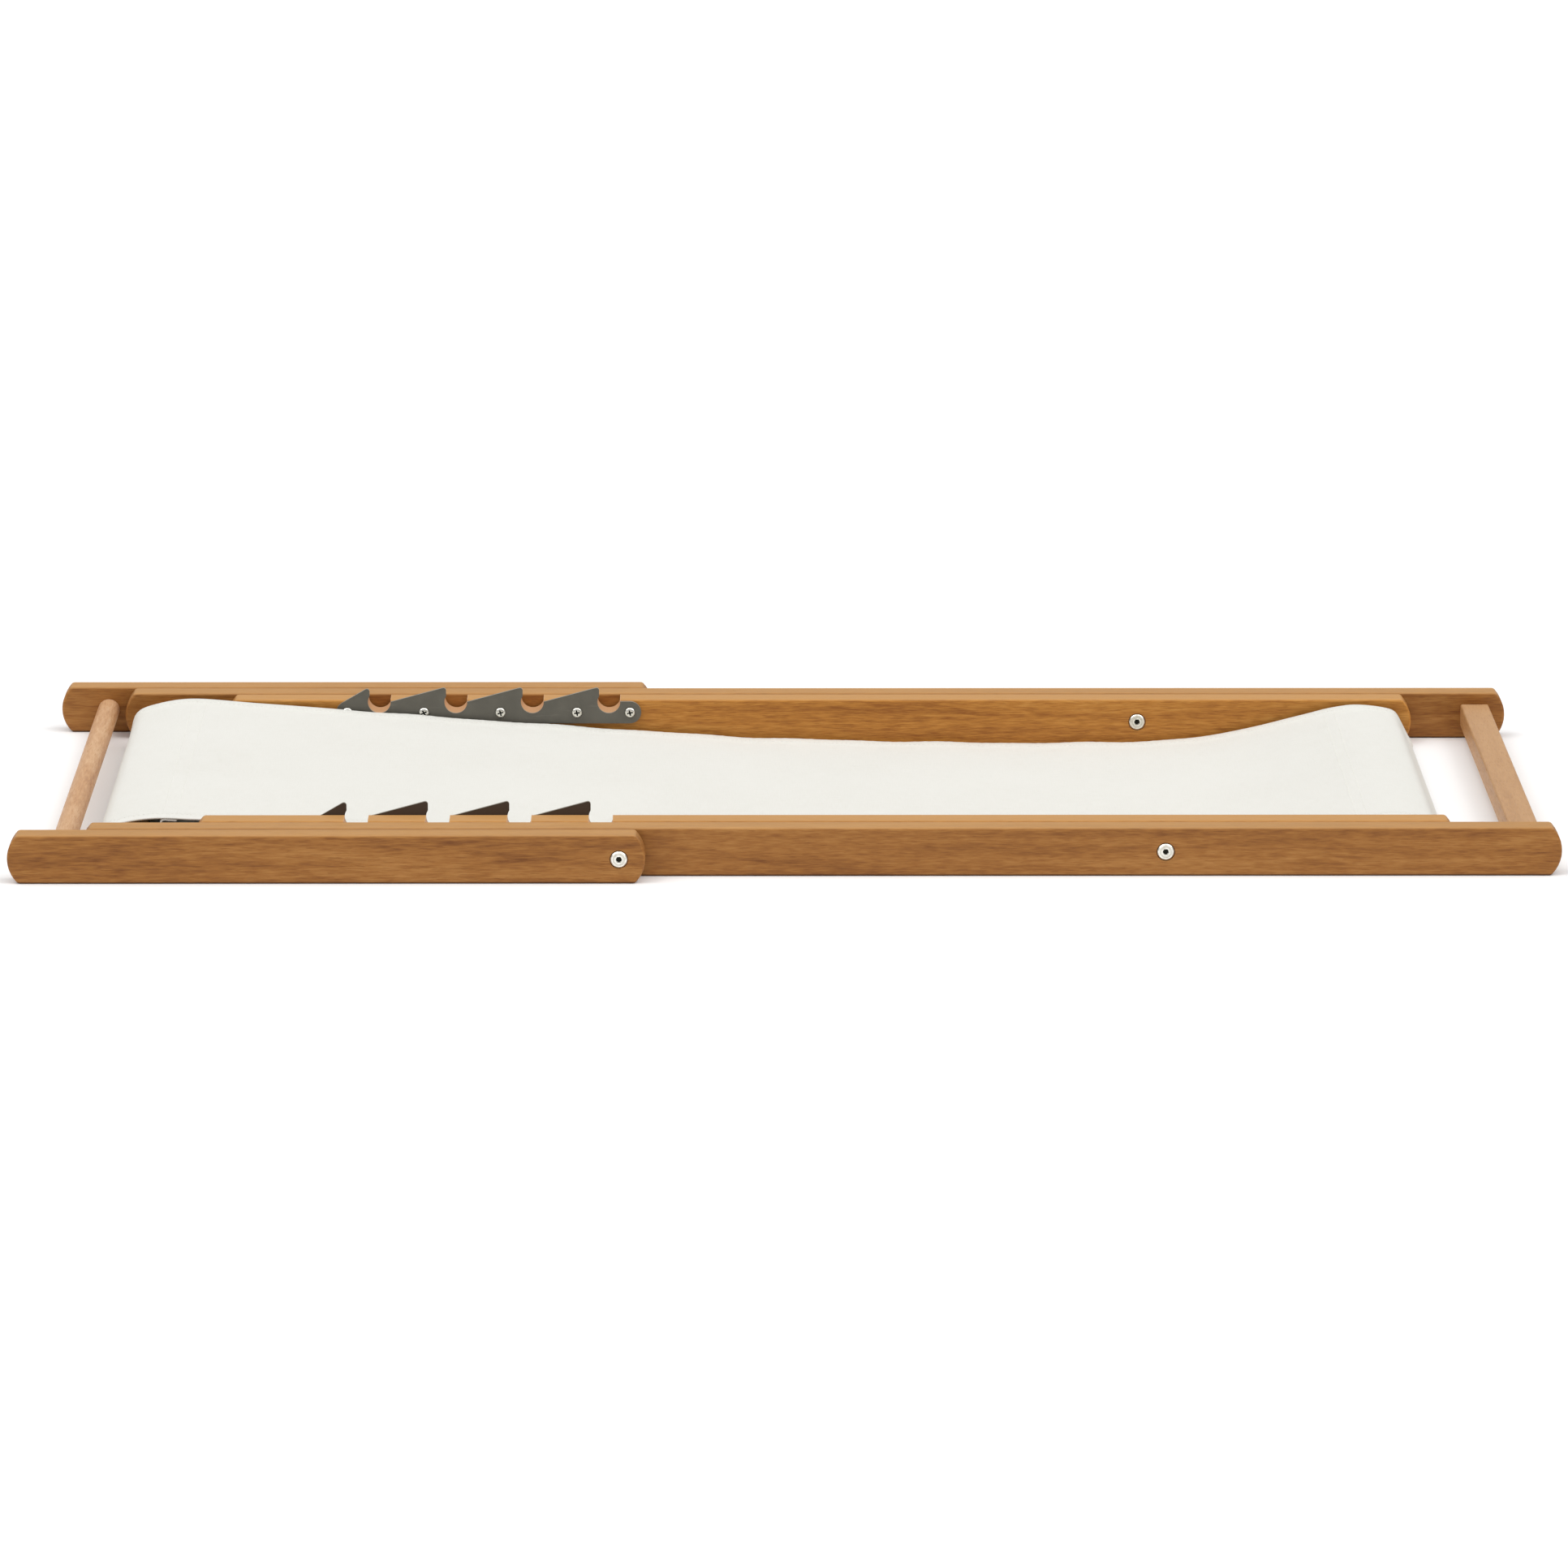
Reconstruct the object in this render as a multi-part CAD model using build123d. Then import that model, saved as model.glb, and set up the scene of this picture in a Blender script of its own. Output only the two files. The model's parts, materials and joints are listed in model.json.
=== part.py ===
from build123d import *
import os
from math import acos, atan2, cos, dist, hypot, radians, sin, tan

# Folding wooden deck chair with a canvas sling, in millimetres, folded flat on the floor.
# +X runs towards the foot end, +Y to the sitter's left, +Z up. The origin is on the floor, at the
# middle of the outline. All three frames pivot about axes that run along Y.

# Rails: one board section for all three frames, with bowed ends
RAIL_HEIGHT = 43.0
RAIL_THICKNESS = 22.0
RAIL_EDGE_ROUND = 2.5
RAIL_END_BOW = 9.0
RAIL_CORNER_ROUND = 4.0

# Across the chair: the frames nest side by side, prop outside, back between, seat inside
OVERALL_WIDTH = 570.0
LAYER_GAP = 3.0
SIDE_PLAY = 0.2

# Along the chair
BACK_PIVOT_TO_FOOT = 341.0
PIVOT_SPACING = 469.6
PROP_REACH = 480.0
PROP_OVERHANG = 43.5
PROP_TAIL = 22.6
HEAD_TO_DOWEL_GAP = 7.0
SEAT_REAR_TO_HEAD_BAR = 55.5
SEAT_KNEE_TO_CROSSBAR = 47.5

# Square-edged crossbars, with a round-ended tenon at each end
CROSSBAR_WIDTH = 26.0
CROSSBAR_HEIGHT = 21.0
CROSSBAR_ROUND = 2.0
FOOT_CROSSBAR_INSET = 28.0
REAR_CROSSBAR_INSET = 26.5
TENON_SHOULDER = 4.0
TENON_HEIGHT = 11.0
TENON_LENGTH = 14.0

# Round bars, glued into blind sockets
SLING_BAR_DIAMETER = 24.0
HEAD_BAR_INSET = 39.5
KNEE_BAR_INSET = 39.5
PROP_DOWEL_DIAMETER = 20.0
BAR_TENON_LENGTH = 14.0
GLUE_GAP = 0.05
SOCKET_END_GAP = 0.5

# Rack: half-round notches in the seat rails, faced with a hooked steel plate
NOTCH_COUNT = 4
NOTCH_PITCH = 70.3
PIVOT_TO_FIRST_NOTCH = 486.0
NOTCH_CLEARANCE = 0.5
NOTCH_DROP = 2.0
RACK_THICKNESS = 2.5
RACK_END_RADIUS = 10.3
RACK_SCREW_DROP = 11.7
RACK_SCREW_TO_NOTCH = 29.3
RACK_END_SCREW_TO_NOTCH = 19.4
TOOTH_RISE = 12.2
TOOTH_HOOK = 1.6
TOOTH_TIP_RADIUS = 2.4
TOOTH_ROOT_GAP = 1.0

# Rack screws
SCREW_HEAD_DIAMETER = 9.0
SCREW_HEAD_HEIGHT = 2.4
SCREW_HEAD_ROUND = 1.6
SCREW_SHANK_DIAMETER = 4.0
SCREW_BITE = 12.0
SCREW_HOLE_CLEARANCE = 0.05

# Pivots: a flanged sleeve from the outer face, with a flanged bolt screwed in from the inner face
PIVOT_HEAD_DIAMETER = 14.2
PIVOT_HEAD_HEIGHT = 2.8
PIVOT_HEAD_CHAMFER = 0.7
PIVOT_RECESS_DIAMETER = 16.0
PIVOT_RECESS_DEPTH = 2.2
PIVOT_BARREL_DIAMETER = 10.0
PIVOT_RUNNING_CLEARANCE = 0.06
PIVOT_BOLT_DIAMETER = 6.0
PIVOT_BOLT_CLEARANCE = 0.05
PIVOT_BOLT_GRIP = 30.0
PIVOT_BARREL_END_GAP = 1.0
PIVOT_SOCKET_ACROSS_FLATS = 5.0
PIVOT_SOCKET_DEPTH = 2.0
WASHER_DIAMETER = 24.0

# Sling: one strip of canvas, folded back under each end and sewn into a pocket round its bar
CANVAS_THICKNESS = 1.0
CANVAS_BAR_CLEARANCE = 0.4
CANVAS_FLOOR_CLEARANCE = 0.4
SLING_SIDE_CLEARANCE = 1.1
HEAD_POCKET_TILT = 13.3
HEAD_POCKET_CORNER_REACH = 20.0
HEAD_POCKET_SEAM_REACH = 32.5
HEAD_POCKET_FOLD_INSET = 2.0
KNEE_POCKET_TILT = 8.5
KNEE_POCKET_CORNER_REACH = 33.0
KNEE_POCKET_SEAM_REACH = 26.0
KNEE_POCKET_FOLD_REACH = 7.0
POCKET_UNDERLAP = 6.0
POCKET_FOLD_RADIUS = 3.0
POCKET_CORNER_RADIUS = 10.0
POCKET_SEAM_RADIUS = 90.0
POCKET_UNDER_RADIUS = 8.0
BELLY_HEAD_FROM_PIVOT = 326.0
BELLY_KNEE_FROM_PIVOT = 39.0

# Share of the shorter run beside a corner that the canvas's rounding there may take
CORNER_RUN_SHARE = 0.45

# Places along X, with the outline centred on the origin
PIVOT_X = (PIVOT_SPACING + PROP_REACH + PROP_OVERHANG - BACK_PIVOT_TO_FOOT) / 2
PROP_PIVOT_X = PIVOT_X - PIVOT_SPACING
DOWEL_X = PROP_PIVOT_X - PROP_REACH
PROP_HEAD_X = DOWEL_X - PROP_OVERHANG
PROP_TAIL_X = PROP_PIVOT_X + PROP_TAIL
BACK_HEAD_X = DOWEL_X + PROP_DOWEL_DIAMETER / 2 + HEAD_TO_DOWEL_GAP
BACK_FOOT_X = PIVOT_X + BACK_PIVOT_TO_FOOT
HEAD_BAR_X = BACK_HEAD_X + HEAD_BAR_INSET
FOOT_CROSSBAR_X = BACK_FOOT_X - FOOT_CROSSBAR_INSET
SEAT_REAR_X = HEAD_BAR_X + SEAT_REAR_TO_HEAD_BAR
SEAT_KNEE_X = FOOT_CROSSBAR_X - CROSSBAR_WIDTH / 2 - SEAT_KNEE_TO_CROSSBAR
REAR_CROSSBAR_X = SEAT_REAR_X + REAR_CROSSBAR_INSET
KNEE_BAR_X = SEAT_KNEE_X - KNEE_BAR_INSET
NOTCH_X = [PIVOT_X - PIVOT_TO_FIRST_NOTCH - i * NOTCH_PITCH for i in range(NOTCH_COUNT)]

# Places along Y, on the left side: each layer's outer and inner faces
LAYER_PITCH = RAIL_THICKNESS + LAYER_GAP
PROP_OUTER_Y = OVERALL_WIDTH / 2
BACK_OUTER_Y = PROP_OUTER_Y - LAYER_PITCH
SEAT_OUTER_Y = BACK_OUTER_Y - LAYER_PITCH
PROP_INNER_Y = PROP_OUTER_Y - RAIL_THICKNESS
BACK_INNER_Y = BACK_OUTER_Y - RAIL_THICKNESS
SEAT_INNER_Y = SEAT_OUTER_Y - RAIL_THICKNESS
RACK_FACE_Y = SEAT_INNER_Y - RACK_THICKNESS
SLING_HALF_WIDTH = RACK_FACE_Y - SCREW_HEAD_HEIGHT - SLING_SIDE_CLEARANCE

# Heights
MID_Z = RAIL_HEIGHT / 2
NOTCH_Z = RAIL_HEIGHT - NOTCH_DROP
NOTCH_RADIUS = PROP_DOWEL_DIAMETER / 2 + NOTCH_CLEARANCE
RACK_SCREW_Z = RAIL_HEIGHT - RACK_SCREW_DROP


def inward(outer_y):
    """Drawing plane across the chair: x along the chair, y up, extruding towards the middle."""
    return Plane(origin=(0, outer_y, 0), x_dir=(1, 0, 0), z_dir=(0, -1, 0))


def rod(x, z, diameter, outer_y, inner_y):
    """Cylinder along Y from outer_y in to inner_y."""
    return extrude(inward(outer_y) * Pos(x, z) * Circle(diameter / 2), outer_y - inner_y)


def rail(head_x, foot_x, outer_y):
    """Board on edge with bowed ends, eased corners and rounded arrises."""
    low_head = (head_x + RAIL_END_BOW, 0)
    low_foot = (foot_x - RAIL_END_BOW, 0)
    top_head = (head_x + RAIL_END_BOW, RAIL_HEIGHT)
    top_foot = (foot_x - RAIL_END_BOW, RAIL_HEIGHT)
    outline = make_face(
        [
            Line(low_head, low_foot),
            ThreePointArc(low_foot, (foot_x, MID_Z), top_foot),
            Line(top_foot, top_head),
            ThreePointArc(top_head, (head_x, MID_Z), low_head),
        ]
    )
    outline = fillet(outline.vertices(), RAIL_CORNER_ROUND)
    board = extrude(inward(outer_y) * outline, RAIL_THICKNESS)
    return fillet(board.faces().filter_by(Axis.Y).edges(), RAIL_EDGE_ROUND)


def pivot_bore(x, outer_y, inner_y):
    """Hole for a pivot sleeve through a rail."""
    return rod(x, MID_Z, PIVOT_BARREL_DIAMETER + 2 * PIVOT_RUNNING_CLEARANCE, outer_y, inner_y)


def outer_recess(x, outer_y):
    """Counterbore in a rail's outer face."""
    return rod(x, MID_Z, PIVOT_RECESS_DIAMETER, outer_y, outer_y - PIVOT_RECESS_DEPTH)


def inner_recess(x, inner_y):
    """Counterbore in a rail's inner face."""
    return rod(x, MID_Z, PIVOT_RECESS_DIAMETER, inner_y + PIVOT_RECESS_DEPTH, inner_y)


def bar_socket(x, diameter, inner_y):
    """Blind hole in a rail's inner face for the end of a round bar."""
    depth = BAR_TENON_LENGTH + SOCKET_END_GAP
    return rod(x, MID_Z, diameter + 2 * GLUE_GAP, inner_y + depth, inner_y)


def tenon_outline(gap):
    """Round-ended tenon section, widened by a gap where it is the mortise."""
    width = CROSSBAR_WIDTH - 2 * TENON_SHOULDER + 2 * gap
    return SlotOverall(width, TENON_HEIGHT + 2 * gap)


def mortise(x, inner_y):
    """Blind mortise in a rail's inner face for a crossbar's tenon."""
    depth = TENON_LENGTH + SOCKET_END_GAP
    return extrude(inward(inner_y + depth) * Pos(x, MID_Z) * tenon_outline(GLUE_GAP), depth)


def back_rail():
    """Left rail of the back frame."""
    board = rail(BACK_HEAD_X, BACK_FOOT_X, BACK_OUTER_Y)
    board -= pivot_bore(PIVOT_X, BACK_OUTER_Y, BACK_INNER_Y)
    board -= outer_recess(PIVOT_X, BACK_OUTER_Y)
    board -= pivot_bore(PROP_PIVOT_X, BACK_OUTER_Y, BACK_INNER_Y)
    board -= inner_recess(PROP_PIVOT_X, BACK_INNER_Y)
    board -= bar_socket(HEAD_BAR_X, SLING_BAR_DIAMETER, BACK_INNER_Y)
    return board - mortise(FOOT_CROSSBAR_X, BACK_INNER_Y)


def seat_rail():
    """Left rail of the seat frame, with the half-round notches for the prop dowel."""
    board = rail(SEAT_REAR_X, SEAT_KNEE_X, SEAT_OUTER_Y)
    board -= pivot_bore(PIVOT_X, SEAT_OUTER_Y, SEAT_INNER_Y)
    board -= inner_recess(PIVOT_X, SEAT_INNER_Y)
    board -= bar_socket(KNEE_BAR_X, SLING_BAR_DIAMETER, SEAT_INNER_Y)
    board -= mortise(REAR_CROSSBAR_X, SEAT_INNER_Y)
    for x in NOTCH_X:
        board -= rod(x, NOTCH_Z, 2 * NOTCH_RADIUS, SEAT_OUTER_Y, SEAT_INNER_Y)
    hole = SCREW_SHANK_DIAMETER + 2 * SCREW_HOLE_CLEARANCE
    for x in rack_screw_places():
        end_y = SEAT_INNER_Y + SCREW_BITE + SOCKET_END_GAP
        board -= rod(x, RACK_SCREW_Z, hole, end_y, SEAT_INNER_Y)
    return board


def prop_rail():
    """Left rail of the prop frame."""
    board = rail(PROP_HEAD_X, PROP_TAIL_X, PROP_OUTER_Y)
    board -= pivot_bore(PROP_PIVOT_X, PROP_OUTER_Y, PROP_INNER_Y)
    board -= outer_recess(PROP_PIVOT_X, PROP_OUTER_Y)
    return board - bar_socket(DOWEL_X, PROP_DOWEL_DIAMETER, PROP_INNER_Y)


def round_bar(x, diameter, inner_y):
    """Round bar across a frame, let into both rails."""
    end_y = inner_y + BAR_TENON_LENGTH
    return rod(x, MID_Z, diameter, end_y, -end_y)


def crossbar(x, inner_y):
    """Square-edged crossbar with shoulders against both rails and a tenon at each end."""
    section = RectangleRounded(CROSSBAR_WIDTH, CROSSBAR_HEIGHT, CROSSBAR_ROUND)
    body = extrude(inward(inner_y) * Pos(x, MID_Z) * section, 2 * inner_y)
    end_y = inner_y + TENON_LENGTH
    return body + extrude(inward(end_y) * Pos(x, MID_Z) * tenon_outline(0), 2 * end_y)


def rack_screw_places():
    """X of each rack screw: one on the head side of every notch, and one at the knee end."""
    return [x - RACK_SCREW_TO_NOTCH for x in NOTCH_X] + [NOTCH_X[0] + RACK_END_SCREW_TO_NOTCH]


def rack_tooth(notch_x, foot, root):
    """Tooth outline: a slope from root up to the rounded tip, and a nose over the notch at notch_x."""
    nose_x = notch_x - NOTCH_RADIUS + TOOTH_HOOK
    tip = (nose_x, RAIL_HEIGHT + TOOTH_RISE)
    outline = make_face(Polyline(foot, root, tip, (nose_x, RACK_SCREW_Z), close=True))
    return fillet(outline.vertices().sort_by(Axis.Y)[-1], TOOTH_TIP_RADIUS)


def first_tooth():
    """Steep tooth at the head end, tangent to the rounded end of the plate."""
    end_x = NOTCH_X[-1] - RACK_SCREW_TO_NOTCH
    tip_x = NOTCH_X[-1] - NOTCH_RADIUS + TOOTH_HOOK
    run = tip_x - end_x
    rise = RAIL_HEIGHT + TOOTH_RISE - RACK_SCREW_Z
    turn = atan2(rise, run) + acos(RACK_END_RADIUS / hypot(run, rise))
    touch = (end_x + RACK_END_RADIUS * cos(turn), RACK_SCREW_Z + RACK_END_RADIUS * sin(turn))
    return rack_tooth(NOTCH_X[-1], (end_x, RACK_SCREW_Z), touch)


def rack_plate():
    """Left steel rack: a round-ended strip with four hooked teeth and round notches."""
    screws = rack_screw_places()
    span = screws[-1] - min(screws)
    middle = (screws[-1] + min(screws)) / 2
    outline = Pos(middle, RACK_SCREW_Z) * SlotCenterToCenter(span, 2 * RACK_END_RADIUS)
    outline += first_tooth()
    for near_notch, far_notch in zip(NOTCH_X, NOTCH_X[1:]):
        root_x = far_notch + NOTCH_RADIUS + TOOTH_ROOT_GAP
        root = (root_x, RACK_SCREW_Z + RACK_END_RADIUS)
        outline += rack_tooth(near_notch, (root_x, RACK_SCREW_Z), root)
    for x in NOTCH_X:
        outline -= Pos(x, NOTCH_Z) * Circle(NOTCH_RADIUS)
    for x in screws:
        hole = SCREW_SHANK_DIAMETER / 2 + SCREW_HOLE_CLEARANCE
        outline -= Pos(x, RACK_SCREW_Z) * Circle(hole)
    return extrude(inward(SEAT_INNER_Y) * outline, RACK_THICKNESS)


def rack_screws():
    """Pan-head screws through the left rack into the rail, one solid each."""
    screws = []
    for x in rack_screw_places():
        head_y = RACK_FACE_Y - SCREW_HEAD_HEIGHT
        head = rod(x, RACK_SCREW_Z, SCREW_HEAD_DIAMETER, RACK_FACE_Y, head_y)
        rim = head.faces().sort_by(Axis.Y)[0].edges()
        head = fillet(rim, SCREW_HEAD_ROUND)
        shank = rod(x, RACK_SCREW_Z, SCREW_SHANK_DIAMETER, SEAT_INNER_Y + SCREW_BITE, RACK_FACE_Y)
        screws.append(head + shank)
    return Compound(children=[screw.solid() for screw in screws])


def hex_socket(x, outer_y, depth):
    """Hexagon key socket sunk in from outer_y."""
    flats = RegularPolygon(PIVOT_SOCKET_ACROSS_FLATS / 2, 6, major_radius=False)
    return extrude(inward(outer_y) * Pos(x, MID_Z) * flats, depth)


def pivot_sleeve(x, outer_y, inner_y, head_play):
    """Flanged sleeve sunk in the outer face, with its barrel through both rails.

    head_play is the room under the flange where the outer rail is the one that turns.
    """
    seat_y = outer_y - PIVOT_RECESS_DEPTH + head_play
    top_y = seat_y + PIVOT_HEAD_HEIGHT
    end_y = inner_y + PIVOT_RECESS_DEPTH + PIVOT_BARREL_END_GAP
    flange = rod(x, MID_Z, PIVOT_HEAD_DIAMETER, top_y, seat_y)
    flange = chamfer(flange.faces().sort_by(Axis.Y)[-1].edges(), PIVOT_HEAD_CHAMFER)
    sleeve = flange + rod(x, MID_Z, PIVOT_BARREL_DIAMETER, seat_y, end_y)
    sleeve -= hex_socket(x, top_y, PIVOT_SOCKET_DEPTH)
    tapped_y = inner_y + PIVOT_BOLT_GRIP + SOCKET_END_GAP
    return sleeve - rod(x, MID_Z, PIVOT_BOLT_DIAMETER + 2 * PIVOT_BOLT_CLEARANCE, tapped_y, end_y)


def pivot_bolt(x, inner_y, head_play):
    """Flanged bolt sunk in the inner face and screwed into the sleeve."""
    seat_y = inner_y + PIVOT_RECESS_DEPTH - head_play
    top_y = seat_y - PIVOT_HEAD_HEIGHT
    flange = rod(x, MID_Z, PIVOT_HEAD_DIAMETER, seat_y, top_y)
    flange = chamfer(flange.faces().sort_by(Axis.Y)[0].edges(), PIVOT_HEAD_CHAMFER)
    bolt = flange + rod(x, MID_Z, PIVOT_BOLT_DIAMETER, inner_y + PIVOT_BOLT_GRIP, seat_y)
    return bolt - hex_socket(x, top_y + PIVOT_SOCKET_DEPTH, PIVOT_SOCKET_DEPTH)


def pivot_washer(x, outer_y, inner_y):
    """Spacer washer between two rails."""
    washer = rod(x, MID_Z, WASHER_DIAMETER, outer_y, inner_y)
    return washer - pivot_bore(x, outer_y, inner_y)


def over_bar(bar_x, tilt, along):
    """Point on the canvas's top face where it lies over a bar, tilt degrees up towards +X."""
    reach = SLING_BAR_DIAMETER / 2 + CANVAS_BAR_CLEARANCE + CANVAS_THICKNESS
    slope = radians(tilt)
    x = bar_x - reach * sin(slope) + along * cos(slope)
    return (x, MID_Z + reach * cos(slope) + along * sin(slope))


def half_turn(before, here, after):
    """Half of the angle by which a route turns at a corner, in radians."""
    arriving = Vector(*here) - Vector(*before)
    leaving = Vector(*after) - Vector(*here)
    return radians(arriving.get_angle(leaving) / 2)


def corner_radius(before, here, after, wanted=None):
    """Radius that rounds a corner of a route: the wanted one, or the largest that its runs allow."""
    run = min(dist(before, here), dist(here, after))
    room = CORNER_RUN_SHARE * run / tan(half_turn(before, here, after))
    return room if wanted is None else min(wanted, room)


def canvas_strip(points, wanted_radii):
    """Strip of canvas whose outer face follows the points, with its thickness on the right hand."""
    corners = zip(points, points[1:], points[2:], wanted_radii)
    radii = [corner_radius(*corner) for corner in corners]
    outer = FilletPolyline(*points, radius=radii)
    return make_face(offset(outer, CANVAS_THICKNESS, side=Side.RIGHT).edges())


def sewn_under(before, seam, after):
    """Point inside the canvas where the folded end is sewn under a rounded seam."""
    radius = corner_radius(before, seam, after, POCKET_SEAM_RADIUS)
    drop = radius / cos(half_turn(before, seam, after)) - radius + CANVAS_THICKNESS / 2
    return (seam[0], seam[1] - drop)


def sling():
    """Canvas sling: a pocket round the head bar, a slack belly on the floor, a pocket round the knee bar."""
    floor_z = CANVAS_FLOOR_CLEARANCE
    belly_z = floor_z + CANVAS_THICKNESS
    bar_side = SLING_BAR_DIAMETER / 2 + POCKET_UNDERLAP
    head_fold = (BACK_HEAD_X + HEAD_POCKET_FOLD_INSET, floor_z)
    head_corner = over_bar(HEAD_BAR_X, HEAD_POCKET_TILT, -HEAD_POCKET_CORNER_REACH)
    head_seam = over_bar(HEAD_BAR_X, HEAD_POCKET_TILT, HEAD_POCKET_SEAM_REACH)
    head_under = (HEAD_BAR_X + bar_side, floor_z)
    head_lap = (HEAD_BAR_X, floor_z)
    belly_head = (PIVOT_X - BELLY_HEAD_FROM_PIVOT, belly_z)
    belly_knee = (PIVOT_X + BELLY_KNEE_FROM_PIVOT, belly_z)
    knee_seam = over_bar(KNEE_BAR_X, -KNEE_POCKET_TILT, -KNEE_POCKET_SEAM_REACH)
    knee_corner = over_bar(KNEE_BAR_X, -KNEE_POCKET_TILT, KNEE_POCKET_CORNER_REACH)
    knee_fold = (SEAT_KNEE_X + KNEE_POCKET_FOLD_REACH, floor_z)
    knee_under = (KNEE_BAR_X - bar_side, floor_z)
    knee_lap = (KNEE_BAR_X, floor_z)
    upper = [head_lap, head_fold, head_corner, head_seam, belly_head]
    upper += [belly_knee, knee_seam, knee_corner, knee_fold, knee_lap]
    head_radii = [POCKET_FOLD_RADIUS, POCKET_CORNER_RADIUS, POCKET_SEAM_RADIUS, None]
    profile = canvas_strip(upper, head_radii + head_radii[::-1])
    head_sewn = sewn_under(head_corner, head_seam, belly_head)
    knee_sewn = sewn_under(belly_knee, knee_seam, knee_corner)
    profile += canvas_strip([head_sewn, head_under, head_lap], [POCKET_UNDER_RADIUS])
    profile += canvas_strip([knee_lap, knee_under, knee_sewn], [POCKET_UNDER_RADIUS])
    return extrude(inward(SLING_HALF_WIDTH) * profile, 2 * SLING_HALF_WIDTH)


# Pieces of the left side, which the right side mirrors
SIDE_PIECES = {
    "back_rail": back_rail(),
    "seat_rail": seat_rail(),
    "prop_rail": prop_rail(),
    "rack_plate": rack_plate(),
    "rack_screws": rack_screws(),
    "main_pivot_sleeve": pivot_sleeve(PIVOT_X, BACK_OUTER_Y, SEAT_INNER_Y, 0),
    "main_pivot_bolt": pivot_bolt(PIVOT_X, SEAT_INNER_Y, SIDE_PLAY),
    "main_pivot_washer": pivot_washer(PIVOT_X, BACK_INNER_Y, SEAT_OUTER_Y + SIDE_PLAY),
    "prop_pivot_sleeve": pivot_sleeve(PROP_PIVOT_X, PROP_OUTER_Y, BACK_INNER_Y, SIDE_PLAY),
    "prop_pivot_bolt": pivot_bolt(PROP_PIVOT_X, BACK_INNER_Y, 0),
    "prop_pivot_washer": pivot_washer(PROP_PIVOT_X, PROP_INNER_Y - SIDE_PLAY, BACK_OUTER_Y),
}

# Pieces that cross the chair
CROSS_PIECES = {
    "head_bar": round_bar(HEAD_BAR_X, SLING_BAR_DIAMETER, BACK_INNER_Y),
    "knee_bar": round_bar(KNEE_BAR_X, SLING_BAR_DIAMETER, SEAT_INNER_Y),
    "prop_dowel": round_bar(DOWEL_X, PROP_DOWEL_DIAMETER, PROP_INNER_Y),
    "foot_crossbar": crossbar(FOOT_CROSSBAR_X, BACK_INNER_Y),
    "rear_crossbar": crossbar(REAR_CROSSBAR_X, SEAT_INNER_Y),
    "sling": sling(),
}

os.makedirs("parts", exist_ok=True)
for name, piece in SIDE_PIECES.items():
    export_step(piece, f"parts/{name}_left.step")
    export_step(mirror(piece, about=Plane.XZ), f"parts/{name}_right.step")
for name, piece in CROSS_PIECES.items():
    export_step(piece, f"parts/{name}.step")
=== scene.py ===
"""Folding deck chair with a canvas sling: finishes, cloth, small hardware, light and camera.

Everything is in metres unless its comment says otherwise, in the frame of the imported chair: +X
towards the foot end, +Y to the sitter's left, +Z up, with the folded chair lying on the floor.
"""

import json
import logging
import math
from dataclasses import dataclass, replace
from enum import Enum
from typing import Any, ClassVar, Mapping, Optional, Sequence, Union

import bmesh
import bpy
import numpy as np
from mathutils import Matrix, Vector


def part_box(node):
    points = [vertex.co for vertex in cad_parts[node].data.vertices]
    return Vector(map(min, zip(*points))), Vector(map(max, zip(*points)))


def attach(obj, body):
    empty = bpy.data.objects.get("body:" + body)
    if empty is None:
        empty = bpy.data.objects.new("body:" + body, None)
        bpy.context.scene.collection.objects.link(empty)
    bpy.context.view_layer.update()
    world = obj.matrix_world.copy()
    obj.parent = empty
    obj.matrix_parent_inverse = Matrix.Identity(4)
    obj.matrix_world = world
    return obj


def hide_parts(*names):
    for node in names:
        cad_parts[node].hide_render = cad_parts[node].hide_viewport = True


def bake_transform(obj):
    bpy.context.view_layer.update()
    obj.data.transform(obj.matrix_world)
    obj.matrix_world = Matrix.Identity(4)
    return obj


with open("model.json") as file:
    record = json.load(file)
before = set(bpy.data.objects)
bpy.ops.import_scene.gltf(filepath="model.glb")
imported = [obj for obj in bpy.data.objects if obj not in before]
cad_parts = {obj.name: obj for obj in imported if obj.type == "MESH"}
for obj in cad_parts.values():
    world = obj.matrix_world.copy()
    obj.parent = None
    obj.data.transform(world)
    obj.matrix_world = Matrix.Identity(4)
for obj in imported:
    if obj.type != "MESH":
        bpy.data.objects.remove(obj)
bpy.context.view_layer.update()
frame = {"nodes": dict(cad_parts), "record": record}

MM = 0.001
LOG = logging.getLogger("deck_chair")

Colour = tuple[float, float, float]
Point = tuple[float, float, float]
Lumps = Union[float, Point]
Feed = Union["Socket", float, Sequence[float], bpy.types.ID]
Key = Union[int, str]
Piece = bpy.types.Object


def srgb(red: int, green: int, blue: int) -> Colour:
    """Turn a display colour, with channels from 0 to 255, into linear values."""
    shares = [channel / 255 for channel in (red, green, blue)]
    return tuple(s / 12.92 if s <= 0.04045 else ((s + 0.055) / 1.055) ** 2.4 for s in shares)


def opaque(colour: Colour) -> tuple[float, float, float, float]:
    """Give a colour the alpha that colour sockets ask for."""
    return (*colour, 1.0)


class Side(Enum):
    """The sitter's two sides, as the sign of Y."""

    LEFT = 1
    RIGHT = -1

    def node(self, piece: str) -> str:
        """Name the side's own copy of a piece."""
        return f"{piece}_{self.name.lower()}"


class Grain(Enum):
    """The direction that a piece's fibres run in."""

    ALONG_CHAIR = 0
    ACROSS_CHAIR = 1

    def stretch(self, along: float, across: float) -> Point:
        """Return pattern scales, with one of them along the fibres."""
        return tuple(along if axis == self.value else across for axis in range(3))


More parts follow.
